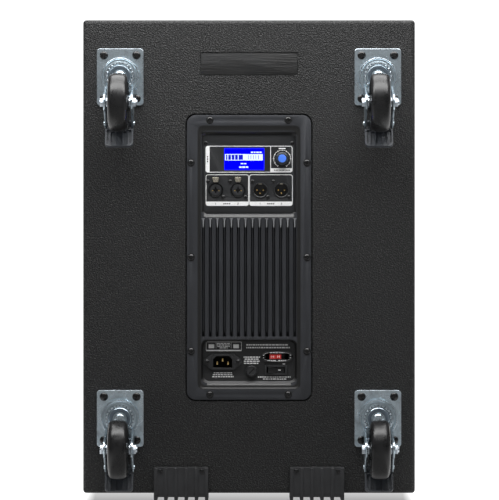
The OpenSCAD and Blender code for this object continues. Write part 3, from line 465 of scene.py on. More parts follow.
def loft(mesh, loops, index=0, closed=False):
    """Joins equal loops of vertices with quads, and caps the first and last unless closed."""
    for one, two in zip(loops, loops[1:] + (loops[:1] if closed else [])):
        for i in range(len(one)):
            j = (i + 1) % len(one)
            mesh.faces.new((one[i], one[j], two[j], two[i])).material_index = index
    if not closed:
        mesh.faces.new(loops[0])
        mesh.faces.new(loops[-1])


def prism(mesh, outline, y_front, y_back, index=0):
    """A closed plate of (x, z) points, from its visible face at y_front back to y_back."""
    front, back = [[mesh.verts.new((x, y, z)) for x, z in outline] for y in (y_front, y_back)]
    faces = [mesh.faces.new(front), mesh.faces.new(list(reversed(back)))]
    for i in range(len(front)):
        j = (i + 1) % len(front)
        faces.append(mesh.faces.new((front[i], back[i], back[j], front[j])))
    for face in faces:
        face.material_index = index


def ring_prism(mesh, outer, inner, y_front, y_back):
    """A closed frame between two outlines of equal length."""
    corners = ((outer, y_front), (inner, y_front), (inner, y_back), (outer, y_back))
    loft(mesh, [[mesh.verts.new((x, y, z)) for x, z in outline] for outline, y in corners], closed=True)


def arc(cx, cz, radius, start, end, steps):
    """Points along an arc, in degrees, both ends included."""
    return [
        (cx + radius * math.cos(math.radians(start + (end - start) * i / steps)),
         cz + radius * math.sin(math.radians(start + (end - start) * i / steps)))
        for i in range(steps + 1)
    ]


def round_rect(cx, cz, width, height, radius, steps=6):
    points = []
    for sx, sz, start in ((1, 1, 0), (-1, 1, 90), (-1, -1, 180), (1, -1, 270)):
        points += arc(
            cx + sx * (width / 2 - radius), cz + sz * (height / 2 - radius), radius,
            start, start + 90, steps
        )
    return points


def circle(cx, cz, radius, steps=48):
    return arc(cx, cz, radius, 0, 360 - 360 / steps, steps - 1)


def lathe(mesh, profile, centre, axis, steps=64, closed=False):
    """Turns (radius, height) points in mm about an axis through centre. Height runs along axis."""
    axis = Vector(axis).normalized()
    side = axis.orthogonal().normalized()
    other = axis.cross(side)
    rings = []
    for radius, height in profile:
        foot = centre + axis * height * MM
        rings.append([
            mesh.verts.new(foot + (side * math.cos(a) + other * math.sin(a)) * radius * MM)
            for a in [math.tau * i / steps for i in range(steps if radius else 1)]
        ])
    for one, two in zip(rings, rings[1:] + (rings[:1] if closed else [])):
        for i in range(steps):
            j = (i + 1) % steps
            corners = [one[i % len(one)], one[j % len(one)], two[j % len(two)], two[i % len(two)]]
            corners = list(dict.fromkeys(corners))
            if len(corners) > 2:
                mesh.faces.new(corners)


def bevelled(mesh, width, segments=2, angle=30):
    """Rounds every edge of a bmesh that is sharper than the angle."""
    bmesh.ops.remove_doubles(mesh, verts=mesh.verts, dist=0.002 * MM)
    edges = [e for e in mesh.edges if len(e.link_faces) == 2 and e.calc_face_angle(0) > math.radians(angle)]
    bmesh.ops.bevel(
        mesh, geom=edges, offset=width, segments=segments, profile=0.5, affect="EDGES", clamp_overlap=True
    )


# ---------------------------------------------------------------- amplifier panel

def on_panel(points):
    """Moves (x, z) points, given in mm from the middle of the panel, to the row frame in metres."""
    return [(x * MM, AMP.z + z * MM) for x, z in points]


def band(mesh, x0, x1, z0, z1, y, thick, index=0):
    prism(mesh, on_panel([(x0, z0), (x1, z0), (x1, z1), (x0, z1)]), y - thick, y + thick, index)


def print_frame(mesh, x0, x1, z0, z1, radius, line, y, thick):
    cx, cz, w, h = (x0 + x1) / 2, (z0 + z1) / 2, x1 - x0, z1 - z0
    ring_prism(
        mesh, on_panel(round_rect(cx, cz, w, h, radius)),
        on_panel(round_rect(cx, cz, w - 2 * line, h - 2 * line, radius - line)), y - thick, y + thick
    )


def foot_band(mesh, x0, x1, z0, z1, radius, y, thick):
    """A solid band with two round lower corners."""
    points = arc(x0 + radius, z0 + radius, radius, 180, 270, 6)
    points += arc(x1 - radius, z0 + radius, radius, 270, 360, 6)
    prism(mesh, on_panel(points + [(x1, z1), (x0, z1)]), y - thick, y + thick)


def digit(mesh, shape, x, z, tall, y, thick, index=0):
    """A plain 1 or 2 made of bars."""
    wide, bar = tall * 0.5, tall * 0.16
    bars = {
        1: [(0.5, 0, 0.5, 1)],
        2: [(0, 1, 1, 1), (1, 0.5, 1, 1), (0, 0.5, 1, 0.5), (0, 0, 0, 0.5), (0, 0, 1, 0)],
    }[shape]
    for a, b, c, d in bars:
        band(mesh, x + (a - 0.5) * wide - bar / 2, x + (c - 0.5) * wide + bar / 2,
             z + (b - 0.5) * tall - bar / 2, z + (d - 0.5) * tall + bar / 2, y, thick, index)


def dashes(mesh, x0, x1, z, tall, y, thick, seed):
    """A row of plain short blocks where small print would be."""
    draw = random.Random(seed)
    x = x0
    while x < x1 - 0.8:
        wide = min(draw.uniform(1.2, 4.2), x1 - x)
        band(mesh, x, x + wide, z - tall / 2, z + tall / 2, y, thick)
        x += wide + 0.75


JACK_Z = (middle("output_jacks").z - AMP.z) / MM
INPUT_X = [
    (middle("input_latch_left").x) / MM,
    (middle("input_latch_right").x) / MM,
]
OUTPUT_LOW, OUTPUT_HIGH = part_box("output_jacks")
OUTPUT_R = size("output_jacks").z / 2 / MM
OUTPUT_X = [OUTPUT_LOW.x / MM + OUTPUT_R, OUTPUT_HIGH.x / MM - OUTPUT_R]
KNOB = middle("encoder_shaft")
KNOB_X, KNOB_Z = KNOB.x / MM, (KNOB.z - AMP.z) / MM
SCREEN = middle("display_module")
SCREEN_X, SCREEN_Z = SCREEN.x / MM, (SCREEN.z - AMP.z) / MM


def control_print():
    """White silkscreen of the control plate: frames, bands, knob ticks and the jacks' numbers."""
    mesh = bmesh.new()
    y, thick, edge = PLATE, 0.07 * MM, 56.1
    print_frame(mesh, -edge, edge, 109.6, 143.9, 3.0, 0.75, y, thick)
    left = arc(-edge + 3, 143.9 - 3, 3, 90, 180, 6) + arc(-edge + 3, 109.6 + 3, 3, 180, 270, 6)
    prism(mesh, on_panel(left + [(-50.9, 109.6), (-50.9, 143.9)]), y - thick * 1.1, y + thick)
    band(mesh, 27.5, 28.3, 109.6, 143.9, y, thick * 1.05)
    foot_right = [(27.5, 109.6)] + arc(edge - 3, 112.6, 3, 270, 360, 6) + [(edge, 115.1), (27.5, 115.1)]
    prism(mesh, on_panel(foot_right), y - thick * 1.1, y + thick)
    for x0, x1 in ((-55.9, -0.3), (0.3, 56.3)):
        print_frame(mesh, x0, x1, 66.5, 107, 3.0, 0.75, y, thick)
        foot_band(mesh, x0, x1, 66.5, 72.0, 3.0, y, thick * 1.1)
    for i in range(31):
        a0 = -150 + i * 10
        if i < 30:
            outer = arc(KNOB_X, KNOB_Z, 11.2, 90 - a0, 90 - a0 - 10, 2)
            inner = arc(KNOB_X, KNOB_Z, 10.75, 90 - a0 - 10, 90 - a0, 2)
            prism(mesh, on_panel(outer + inner), y - thick, y + thick)
        if i % 3 == 0:
            spot = math.radians(90 - a0)
            direction = Vector((math.cos(spot), math.sin(spot)))
            side = Vector((-direction.y, direction.x)) * 0.28
            ends = [Vector((KNOB_X, KNOB_Z)) + direction * r for r in (9.9, 11.9)]
            corners = [ends[0] - side, ends[1] - side, ends[1] + side, ends[0] + side]
            prism(mesh, on_panel(corners), y - thick * 1.2, y + thick)
    band(mesh, KNOB_X - 4.4, KNOB_X + 4.4, 139.8, 141.2, y, thick)
    piece("control_print", mesh, INK)


def band_numbers():
    """Dark numbers 1 and 2 on the white bands under the jacks."""
    mesh = bmesh.new()
    for xs in (INPUT_X, OUTPUT_X):
        for number, x in zip((1, 2), xs):
            digit(mesh, number, x, 69.2, 2.4, PLATE, 0.12 * MM)
        middle_x = sum(xs) / 2
        for dx in (-3.6, -1.2, 1.2, 3.6):
            band(mesh, middle_x + dx - 0.8, middle_x + dx + 0.8, 68.4, 70.0, PLATE, 0.12 * MM)
    for dx in range(-5, 6):
        band(mesh, KNOB_X + dx * 1.9 - 0.6, KNOB_X + dx * 1.9 + 0.6, 111.7, 113.2, PLATE, 0.12 * MM)
    for dz in (-3.0, 0.0, 3.0):
        band(mesh, -54.2, -52.8, 126.8 + dz - 1, 126.8 + dz + 1, PLATE, 0.12 * MM)
    piece("band_numbers", mesh, DARK_INK)


def display():
    """Backlit graphic display with a plain level bar and blocks in place of words."""
    mesh = bmesh.new()
    wide, tall = 51.7, 28.4
    x0, x1 = SCREEN_X - wide / 2, SCREEN_X + wide / 2
    z0, z1 = SCREEN_Z - tall / 2, SCREEN_Z + tall / 2
    y = PLATE + 0.3 * MM
    prism(mesh, on_panel(round_rect(SCREEN_X, SCREEN_Z, wide - 0.1, tall - 0.1, 0.8)), y - 0.25 * MM, y, 1)
    band(mesh, x0 + 0.9, x1 - 1.0, z0 + 1.3, z1 - 1.6, y - 0.25 * MM, 0.05 * MM, 0)
    band(mesh, x0 + 1.0, x1 - 2.0, z1 - 16.0, z1 - 7.8, y - 0.3 * MM, 0.05 * MM, 2)
    # the level bar: a dark block over the left half and thin marks on the right
    level = [(2.4, 4.2), (5.2, 8.6), (9.6, 13.2), (14.0, 17.6), (18.6, 24.2)]
    for a, b in level:
        band(mesh, x0 + a, x0 + b, z1 - 15.2, z1 - 8.6, y - 0.36 * MM, 0.04 * MM, 3)
    for a in (31.0, 34.2, 37.4, 40.6, 43.8):
        band(mesh, x0 + a, x0 + a + 0.6, z1 - 14.6, z1 - 9.2, y - 0.36 * MM, 0.04 * MM, 3)
    for a, b in ((34.4, 37.4), (38.2, 40.4), (41.2, 44.6), (45.4, 48.4)):
        band(mesh, x0 + a, x0 + b, z1 - 6.3, z1 - 4.6, y - 0.3 * MM, 0.05 * MM, 2)
    for a, b in ((21.4, 24.6), (25.4, 28.6)):
        band(mesh, x0 + a, x0 + b, z1 - 20.8, z1 - 19.4, y - 0.3 * MM, 0.05 * MM, 2)
    for a, b in ((19.4, 22.6), (23.4, 27.0), (27.8, 31.0)):
        band(mesh, x0 + a, x0 + b, z1 - 25.6, z1 - 23.6, y - 0.3 * MM, 0.05 * MM, 2)
    piece("display_face", mesh, [LCD_BLUE, LCD_EDGE, LCD_WHITE, LCD_DARK])


def at_panel(x, z, y):
    return Vector((x * MM, y, AMP.z + z * MM))


OUT = Vector((0, -1, 0))


def lathe_out(mesh, profile, x, z, y, steps=64):
    """Turns a profile whose heights point out of the panel."""
    lathe(mesh, profile, at_panel(x, z, y), OUT, steps)


def knob():
    """Knob with a fluted skirt and a recessed, lit cap."""
    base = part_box("encoder_knob")[1].y
    mesh = bmesh.new()
    lathe_out(mesh, [
        (3.1, 0), (8.3, 0), (8.5, 0.4), (8.4, 1.4), (7.7, 1.8), (7.5, 6.6), (7.1, 7.6), (6.2, 8.1),
        (5.5, 8.1), (5.2, 7.7), (3.1, 7.6), (3.1, 0)
    ], KNOB_X, KNOB_Z, base, 96)
    flutes = 24
    for i in range(flutes):
        a = math.tau * i / flutes
        centre = at_panel(KNOB_X + 7.55 * math.cos(a), KNOB_Z + 7.55 * math.sin(a), base)
        lathe(mesh, [(0, 1.7), (0.42, 1.7), (0.42, 6.2), (0, 6.9)], centre, OUT, 8)
    piece("encoder_knob_body", mesh, KNOB_PLASTIC, "encoder_turn", ("encoder_knob",))
    mesh = bmesh.new()
    lathe_out(mesh, [(0, 7.2), (5.15, 7.2), (5.15, 7.9), (4.6, 8.35), (3.0, 8.55), (0, 8.6)],
              KNOB_X, KNOB_Z, base, 64)
    piece("encoder_knob_light", mesh, KNOB_LIGHT, "encoder_turn")


def star(radius, waist, points=4, steps=5):
    """Outline of a four-pointed opening with hollow sides."""
    outline = []
    for i in range(points):
        a0 = math.tau * i / points
        a1 = math.tau * (i + 1) / points
        for step in range(steps):
            t = step / steps
            angle = a0 + (a1 - a0) * t
            pull = abs(2 * t - 1)
            outline.append((angle, waist + (radius - waist) * pull ** 2.2))
    return [(r * math.cos(a), r * math.sin(a)) for a, r in outline]


def input_jack(x, name, replaces=()):
    """Combination jack: dark ring, domed insert with a star opening, and gold contacts."""
    z = JACK_Z
    mesh = bmesh.new()
    lathe_out(mesh, [
        (9.6, -6), (9.6, 0.7), (9.3, 1.1), (8.8, 1.2), (8.4, 0.8), (8.3, -1.0), (8.6, -1.4), (8.6, -6),
        (9.6, -6)
    ], x, z, PLATE, 72)
    piece(name + "_ring", mesh, GLOSS_PLASTIC, replaces=replaces)
    # domed insert, closed by rings of points between the star and the rim
    mesh = bmesh.new()
    inner = star(4.5, 2.3, 4, 12)
    count = len(inner)
    loops = []
    for t, out in ((0, -1.6), (0, 0.0), (0.25, 0.35), (0.55, 0.4), (0.8, 0.1), (1.0, -0.7), (1.0, -2.0)):
        loop = []
        for i in range(count):
            a = math.tau * i / count
            rim = Vector((8.25 * math.cos(a), 8.25 * math.sin(a)))
            spot = Vector(inner[i]).lerp(rim, t)
            loop.append(mesh.verts.new(at_panel(x + spot.x, z + spot.y, PLATE - out * MM)))
        loops.append(loop)
    loft(mesh, loops, closed=True)
    piece(name + "_insert", mesh, JACK_PLASTIC)
    # black throat behind the opening
    mesh = bmesh.new()
    throat = [(0, -9.5), (7.9, -9.5), (7.9, -2.3), (6.4, -2.3), (6.4, -8.5), (0, -8.5)]
    lathe_out(mesh, throat, x, z, PLATE, 40)
    piece(name + "_throat", mesh, GLOSS_PLASTIC)
    mesh = bmesh.new()
    for side in (-1, 1):
        points = [(x + side * a, z - b) for a, b in ((3.0, 0.1), (5.0, 0.5), (5.0, 1.6), (3.2, 1.0))]
        if side < 0:
            points.reverse()
        prism(mesh, on_panel(points), PLATE - 0.45 * MM, PLATE + 1.2 * MM)
    piece(name + "_contacts", mesh, BRASS)


def output_jack(x, name, replaces=()):
    """Male XLR jack: flanged ring, deep dark shell with a key, and three gold contacts."""
    z = JACK_Z
    mesh = bmesh.new()
    lathe_out(mesh, [
        (10.1, -10), (10.1, 0.6), (9.8, 1.1), (9.2, 1.2), (8.8, 0.9), (8.4, -0.2), (8.4, -12.0), (0, -12.0),
        (0, -13.0), (9.2, -13.0), (9.2, -10), (10.1, -10)
    ], x, z, PLATE, 80)
    piece(name + "_shell", mesh, JACK_PLASTIC, replaces=replaces)
    mesh = bmesh.new()
    box(mesh, at_panel(x - 2.2, z + 7.4, PLATE - 0.7 * MM), at_panel(x + 2.2, z + 8.6, PLATE + 9 * MM))
    bevelled(mesh, 0.25 * MM)
    piece(name + "_key", mesh, NICKEL)
    mesh = bmesh.new()
    pin = [(0, -12), (1.25, -12), (1.25, -3.2), (0.9, -2.5), (0, -2.2)]
    for dx, dz in ((-4.0, 0.0), (4.0, 0.0), (0.0, -4.0)):
        lathe_out(mesh, pin, x + dx, z + dz, PLATE, 20)
    piece(name + "_contacts", mesh, BRASS)


def latches():
    """Plated push tabs above the input jacks: a pressed plate with two thumb ridges."""
    for node, body, x in (
        ("input_latch_left", "latch_left", INPUT_X[0]), ("input_latch_right", "latch_right", INPUT_X[1])
    ):
        low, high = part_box(node)
        z0 = (low.z - AMP.z) / MM
        z1 = (high.z - AMP.z) / MM
        mesh = bmesh.new()
        outline = [(x - 2.6, z0), (x + 2.6, z0), (x + 3.4, z0 + 2.2), (x + 4.6, z1 - 1.6), (x + 3.8, z1),
                   (x - 3.8, z1), (x - 4.6, z1 - 1.6), (x - 3.4, z0 + 2.2)]
        prism(mesh, on_panel(outline), low.y + 0.35 * MM, low.y + 1.2 * MM)
        for dz in (2.2, 3.6, 5.0):
            wide = 2.6 + 0.22 * dz
            ridge = [(x + a * wide, z0 + dz + b) for a, b in ((-1, -0.3), (1, -0.3), (1, 0.3), (-1, 0.3))]
            prism(mesh, on_panel(ridge), low.y, low.y + 0.5 * MM)
        near = (x * MM - 3.6 * MM, low.y + 1.1 * MM, low.z + 1 * MM)
        box(mesh, near, (x * MM + 3.6 * MM, high.y, high.z - 1 * MM))
        bevelled(mesh, 0.15 * MM)
        piece(node + "_tab", mesh, NICKEL, body, (node,))


# ---------------------------------------------------------------- mains tray

def panel_spot(node):
    spot = middle(node)
    return spot.x / MM, (spot.z - AMP.z) / MM


INLET_X, INLET_Z = panel_spot("mains_inlet")
FUSE_X, FUSE_Z = panel_spot("fuse_holder")
SELECT_X, SELECT_Z = panel_spot("voltage_selector")
SWITCH_X, SWITCH_Z = panel_spot("switch_housing")


def mains_print():
    """Light print on the floor of the mains tray: a plain framed label and rows of blocks."""
    mesh = bmesh.new()
    y, thick = TRAY_FLOOR - 0.06 * MM, 0.05 * MM
    print_frame(mesh, -55.6, -9.7, -121.2, -109.0, 0.8, 0.45, y, thick)
    band(mesh, -55.0, -10.3, -120.9, -119.5, y, thick)
    # a plain block at each end of the frame, and two rows between them
    for x in (-48.6, -16.8):
        band(mesh, x - 3.6, x + 3.6, -117.4, -112.4, y, thick)
    for x in (-42.6, -23.0):
        band(mesh, x - 0.15, x + 0.15, -117.6, -110.0, y, thick)
    for row, (x0, x1) in enumerate(((-41.6, -24.2), (-41.6, -24.2), (-40.8, -25.0), (-38.0, -27.6))):
        dashes(mesh, x0, x1, -111.3 - 1.9 * row, 1.1, y, thick, 20 + row)
    rows = [
        (-3.6, 50.4, -113.0, 1.7), (-3.6, 52.6, -116.6, 1.7),
        (-7.0, 14.2, -128.9, 1.4), (-5.6, 12.4, -131.5, 1.4), (-6.6, 13.6, -134.2, 1.4),
        (-6.6, 12.8, -136.9, 1.4),
        (-45.6, -22.0, -149.2, 1.3), (-46.8, -21.6, -151.6, 1.3), (-47.6, -19.8, -154.2, 1.4),
        (11.4, 54.6, -154.6, 1.5), (18.0, 48.2, -157.2, 1.3),
    ]
    for row, (x0, x1, z, tall) in enumerate(rows):
        dashes(mesh, x0, x1, z, tall, y, thick, 30 + row)
    band(mesh, 43.4, 46.6, -138.3, -137.2, y, thick)
    piece("mains_print", mesh, FAINT_INK)


def sunk_wall(name, width, top, low, radius, sections):
    """Sloping wall around a hollow of the panel. Each section gives how far it lies inside the outline
    at the sides, at the top and at the bottom, and how deep it lies."""
    mesh = bmesh.new()
    loops = []
    for side, head, foot, depth in sections:
        high, bottom = top - head, low + foot
        outline = round_rect(0, (high + bottom) / 2, width - 2 * side, high - bottom, radius, 8)
        loops.append([mesh.verts.new((x, REAR_Y + depth * MM, z)) for x, z in on_panel(outline)])
    loft(mesh, loops, closed=True)
    piece(name, mesh, TOP_LIT_CAST_WALL, angle=60)


def panel_walls():
    """Walls of the panel's shallow step and of its two trays, coloured lighter where they face upwards as a
    painted highlight.
    """
    sunk_wall("amp_step_wall", 132.6, 170.0, -170.0, 7, (
        (0, 0, 0, -0.05), (0.5, 0.6, 0.6, 0.0), (1.6, 1.8, 1.7, 1.2), (4.4, 6.6, 3.8, 1.42),
        (4.4, 6.6, 3.8, 1.6), (0, 0, 0, 1.6)
    ))
    sunk_wall("control_tray_wall", 122.6, 162.1, 51.2, 6, (
        (0, 0, 0, 1.4), (0.4, 0.4, 1.0, 1.6), (1.4, 1.6, 3.4, 4.3), (2.6, 3.4, 4.8, 5.38),
        (2.6, 3.4, 4.8, 6.2), (0, 0, 0, 6.2)
    ))
    sunk_wall("mains_tray_wall", 124.4, -106.1, -166.2, 8, (
        (0, 0, 0, 1.4), (0.4, 0.4, 2.6, 1.8), (1.2, 1.2, 3.8, 4.6), (2.0, 1.8, 5.2, 7.6),
        (3.0, 2.6, 6.4, 8.93), (3.0, 2.6, 6.4, 9.2), (0, 0, 0, 9.2)
    ))


def fin_heads():
    """Tee-shaped heads at the tops of the thin fins inside the cooling grooves, coloured light as a painted
    highlight.
    """
    mesh = bmesh.new()
    grooves, gap, neck, low = 14, 9.08, 48.2, 38.2
    right = [(2.3, 50.5), (2.25, 49.9), (1.5, 49.2), (1.1, neck), (0.9, 45.0), (0.8, 39.4)]
    outline = [(-x, z) for x, z in right] + [(0, low)] + list(reversed(right))
    for i in range(grooves):
        x = (i - (grooves - 1) / 2) * gap
        loops = []
        for rise, scale in ((4.0, 1.0), (0.2, 1.0), (0.0, 0.8)):
            loops.append([
                mesh.verts.new(at_panel(
                    x + a * scale, z, REAR_Y + (0.75 + 0.6 * min(1, (z - low) / (neck - low)) + rise) * MM
                ))
                for a, z in outline
            ])
        loft(mesh, loops)
    piece("fin_heads", mesh, FIN_HEAD_HIGHLIGHT, angle=60)


def inlet_outline(wide, tall, shoulder, tip):
    """Half-width, half-height, half-width of the flat sides, and half-height of the rounded tips."""
    points = []
    for sx, start in ((1, -60), (-1, 120)):
        points.append((sx * shoulder, -sx * tall))
        points += [(sx * (wide - tip) + x, z) for x, z in arc(0, 0, tip, start, start + 120, 8)]
        points.append((sx * shoulder, sx * tall))
    return points


def mains_inlet():
    """Inlet with a six-sided flange, a raised shroud, a chamfered socket and three blades."""
    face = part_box("mains_inlet")[0].y
    mesh = bmesh.new()
    outer = inlet_outline(25.0, 10.6, 14.0, 4.2)
    inner = [nearest_on_rect(x, z, 13.4, 9.2) for x, z in outer]
    loops = [
        [mesh.verts.new(at_panel(INLET_X + x * scale, INLET_Z + z * scale, y)) for x, z in outline]
        for outline, scale, y in (
            (outer, 1.0, TRAY_FLOOR), (outer, 1.0, face + 1.7 * MM), (outer, 0.975, face + 1.2 * MM),
            (inner, 1.0, face + 1.2 * MM), (inner, 1.0, TRAY_FLOOR)
        )
    ]
    loft(mesh, loops, closed=True)
    piece("mains_inlet_flange", mesh, INLET_PLASTIC, replaces=("mains_inlet",))
    mesh = bmesh.new()
    socket = [(-12.3, -7.5), (12.3, -7.5), (12.3, 3.4), (8.2, 7.5), (-8.2, 7.5), (-12.3, 3.4)]
    rim = [(-14.2, -10.0), (14.2, -10.0), (14.2, 5.4), (10.2, 10.0), (-10.2, 10.0), (-14.2, 5.4)]
    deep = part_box("mains_inlet")[1].y
    mouth = [(x * 1.04, z * 1.05) for x, z in socket]
    loops = [
        [mesh.verts.new(at_panel(INLET_X + x, INLET_Z + z, y)) for x, z in outline]
        for outline, y in (
            (mouth, deep - 0.5 * MM), (mouth, TRAY_FLOOR + 0.3 * MM), (rim, TRAY_FLOOR + 0.2 * MM),
            (rim, face + 0.6 * MM), ([(x * 0.965, z * 0.955) for x, z in rim], face), (mouth, face),
            (socket, face + 0.5 * MM), (socket, deep - 2 * MM)
        )
    ]
    loft(mesh, loops)
    # the socket's inner walls and floor take the black painted shadow
    mesh.verts.ensure_lookup_table()
    inside = set(loops[-2] + loops[-1])
    for made in mesh.faces:
        made.material_index = int(inside.issuperset(made.verts))
    piece("mains_inlet_shroud", mesh, [INLET_PLASTIC, PAINTED_SHADOW])
    mesh = bmesh.new()
    for dx, dz in ((-7.0, -1.6), (7.0, -1.6), (0.0, 2.6)):
        blade = [(dx - 0.95, dz - 2.1), (dx + 0.95, dz - 2.1), (dx + 0.95, dz + 2.1), (dx - 0.95, dz + 2.1)]
        prism(mesh, on_panel([(INLET_X + x, INLET_Z + z) for x, z in blade]), face + 4 * MM, deep - 2.2 * MM)
    bevelled(mesh, 0.3 * MM)
    piece("mains_inlet_blades", mesh, BRASS)


def fuse():
    """Screw-in fuse cap with a knurled rim and a driver slot, in its flanged holder; the slot is a thin black
    plate of painted shadow, with a lighter strip along one side as a painted highlight.
    """
    mesh = bmesh.new()
    lathe_out(mesh, [(4.7, -4), (8.0, -4), (8.0, 0.9), (7.6, 1.5), (7.0, 1.6), (4.7, 1.6), (4.7, -4)],
              FUSE_X, FUSE_Z, TRAY_FLOOR, 64)
    piece("fuse_holder_rim", mesh, INLET_PLASTIC)
    mesh = bmesh.new()
    lathe_out(mesh, [
        (0, -9), (4.4, -9), (4.4, 2.0), (6.5, 2.0), (6.75, 2.3), (6.75, 4.2), (6.1, 4.9), (5.2, 4.9),
        (5.0, 4.6), (0, 4.6)
    ], FUSE_X, FUSE_Z, TRAY_FLOOR, 64)
    for i in range(20):
        a = math.tau * i / 20
        lathe_out(mesh, [(0, 2.3), (0.35, 2.3), (0.35, 4.0), (0, 4.3)], FUSE_X + 6.65 * math.cos(a),
                  FUSE_Z + 6.65 * math.sin(a), TRAY_FLOOR, 6)
    piece("fuse_cap_body", mesh, INLET_PLASTIC, "fuse_cap_body", ("fuse_cap",))
    # driver slot: a thin black plate on the cap face, painted shadow in place of a cut
    mesh = bmesh.new()
    slot = turned([(-4.6, -0.65), (4.6, -0.65), (4.6, 0.65), (-4.6, 0.65)], 45, FUSE_X, FUSE_Z)
    prism(mesh, on_panel(slot), TRAY_FLOOR - 4.68 * MM, TRAY_FLOOR - 4.4 * MM)
    piece("fuse_cap_slot", mesh, PAINTED_SHADOW, "fuse_cap_body")
    # painted highlight: a strip of lighter, glossier plastic along one side of the slot
    mesh = bmesh.new()
    lip = turned([(-4.7, -1.0), (4.7, -1.0), (4.7, -0.65), (-4.7, -0.65)], 45, FUSE_X, FUSE_Z)
    prism(mesh, on_panel(lip), TRAY_FLOOR - 4.8 * MM, TRAY_FLOOR - 4.4 * MM)
    piece("fuse_cap_slot_lit_edge", mesh, JACK_PLASTIC, "fuse_cap_body")


def turned(points, degrees, cx=0.0, cz=0.0):
    a = math.radians(degrees)
    return [
        (cx + x * math.cos(a) - z * math.sin(a), cz + x * math.sin(a) + z * math.cos(a)) for x, z in points
    ]


def ellipse_half(cx, cz, w, h, steps=40):
    return [
        (cx + w * math.cos(math.tau * i / steps), cz + h * math.sin(math.tau * i / steps)) for i in range(steps)
    ]


def selector():
    """Oval selector plate with a thin printed outline, and a red slider in its window."""
    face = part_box("voltage_selector")[0].y
    x, z = SELECT_X, SELECT_Z
    mesh = bmesh.new()
    outer = ellipse_half(x, z, 20.0, 6.75)
    loops = [[mesh.verts.new(at_panel(a, b, TRAY_FLOOR + 0.1 * MM)) for a, b in outer]]
    for scale, y in ((1.0, face + 0.5 * MM), (0.985, face + 0.1 * MM), (0.96, face)):
        loops.append([mesh.verts.new(at_panel(x + (a - x) * scale, z + (b - z) * scale, y)) for a, b in outer])
    window = [nearest_on_rect(a - x, b - z, 9.95, 3.45) for a, b in outer]
    for y in (face, TRAY_FLOOR + 0.1 * MM):
        loops.append([mesh.verts.new(at_panel(x + a, z + b, y)) for a, b in window])
    loft(mesh, loops, closed=True)
    piece("selector_plate", mesh, INLET_PLASTIC)
    mesh = bmesh.new()
    ring_prism(mesh, on_panel(ellipse_half(x, z, 19.4, 6.3)), on_panel(ellipse_half(x, z, 19.1, 6.05)),
               face - 0.05 * MM, face + 0.05 * MM)
    dashes(mesh, x - 9.0, x + 9.4, z + 5.1, 1.1, face, 0.05 * MM, 61)
    dashes(mesh, x - 12.6, x - 1.6, z - 5.0, 1.1, face, 0.05 * MM, 62)
    dashes(mesh, x + 1.6, x + 11.6, z - 5.0, 1.1, face, 0.05 * MM, 63)
    for side in (-1, 1):
        for dz in (-1.6, 1.6):
            dx = x + side * 17.2
            band(mesh, dx - 0.55, dx + 0.55, z + dz - 0.3, z + dz + 0.3, face - 1.02 * MM, 0.05 * MM)
    piece("selector_print", mesh, FAINT_INK)
    softened("selector_slider", 0.35, RED_PLASTIC, "selector_slide_body")
    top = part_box("selector_slider")[0].y
    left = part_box("selector_slider")[0].x / MM
    mesh = bmesh.new()
    for dx, tall in ((2.2, 2.6), (4.2, 1.4), (5.4, 2.6), (10.4, 2.6), (12.0, 1.4), (13.0, 2.6)):
        band(mesh, left + dx - 0.3, left + dx + 0.3, z - tall / 2, z + tall / 2, top, 0.04 * MM)
    piece("selector_marks", mesh, INK, "selector_slide_body")


def nearest_on_rect(a, b, w, h):
    """Where the ray from the middle through (a, b) leaves a rectangle of half-size w by h."""
    scale = min(w / max(abs(a), 1e-9), h / max(abs(b), 1e-9))
    return a * scale, b * scale


def switch():
    """Rocker switch: rounded bezel and a rocker whose far end is pressed in."""
    softened("switch_housing", 0.45, INLET_PLASTIC)
    softened("power_rocker", 0.5, GLOSS_PLASTIC, "rocker_body")
    mesh = bmesh.new()
    front = TRAY_FLOOR - 1.6 * MM
    mark_x = SWITCH_X + 4.6
    band(mesh, mark_x - 1.6, mark_x + 1.6, SWITCH_Z - 0.5, SWITCH_Z + 0.5, front, 0.06 * MM)
    piece("rocker_mark", mesh, INK, "rocker_body")


for make in (
    control_print, band_numbers, display, knob, latches, panel_walls, fin_heads, mains_print, mains_inlet, fuse,
    selector, switch
):
    make()
for x, jack in zip(INPUT_X, ("input_jack_left", "input_jack_right")):
    input_jack(x, jack, ("input_jacks",) if jack == "input_jack_left" else ())
for x, jack in zip(OUTPUT_X, ("output_jack_left", "output_jack_right")):
    output_jack(x, jack, ("output_jacks",) if jack == "output_jack_left" else ())


# ---------------------------------------------------------------- casters

AXLE = Vector((1, 0, 0))
CASTER_PLATE = (60, 73)                 # width and height of a mounting plate
SCREWS = [(x, up) for x in (-21, 21) for up in (-28, 28)]
CROWN_R = 24.5
DIMPLE_RING_R = 17.2                          # ring of dimples on the cover of the race, coloured dark as painted shade


def swivel_spot(corner):
    """Returns a function from (x, up, out) in mm, from a caster's swivel axis, to a place."""
    spot = pivot("swivel_" + corner)
    return lambda x, up, out: Vector((spot.x + x * MM, REAR_Y - out * MM, spot.z + up * MM))


def caster_plate_dress(corner, at):
    """Rolled edge along the rim of the mounting plate, in the lighter zinc as a painted highlight."""
    mesh = bmesh.new()
    loops = []
    for inset, out in ((0.0, 1.6), (0.15, 2.45), (0.45, 2.62), (0.8, 2.56), (0.8, 2.3), (0.6, 1.2)):
        wide, tall = (side - 2 * inset for side in CASTER_PLATE)
        outline = round_rect(0, 0, wide, tall, 4 - inset, 8)
        loops.append([mesh.verts.new(at(x, z, out)) for x, z in outline])
    loft(mesh, loops, closed=True)
    piece("caster_plate_rim_" + corner, mesh, ZINC_HIGHLIGHT)


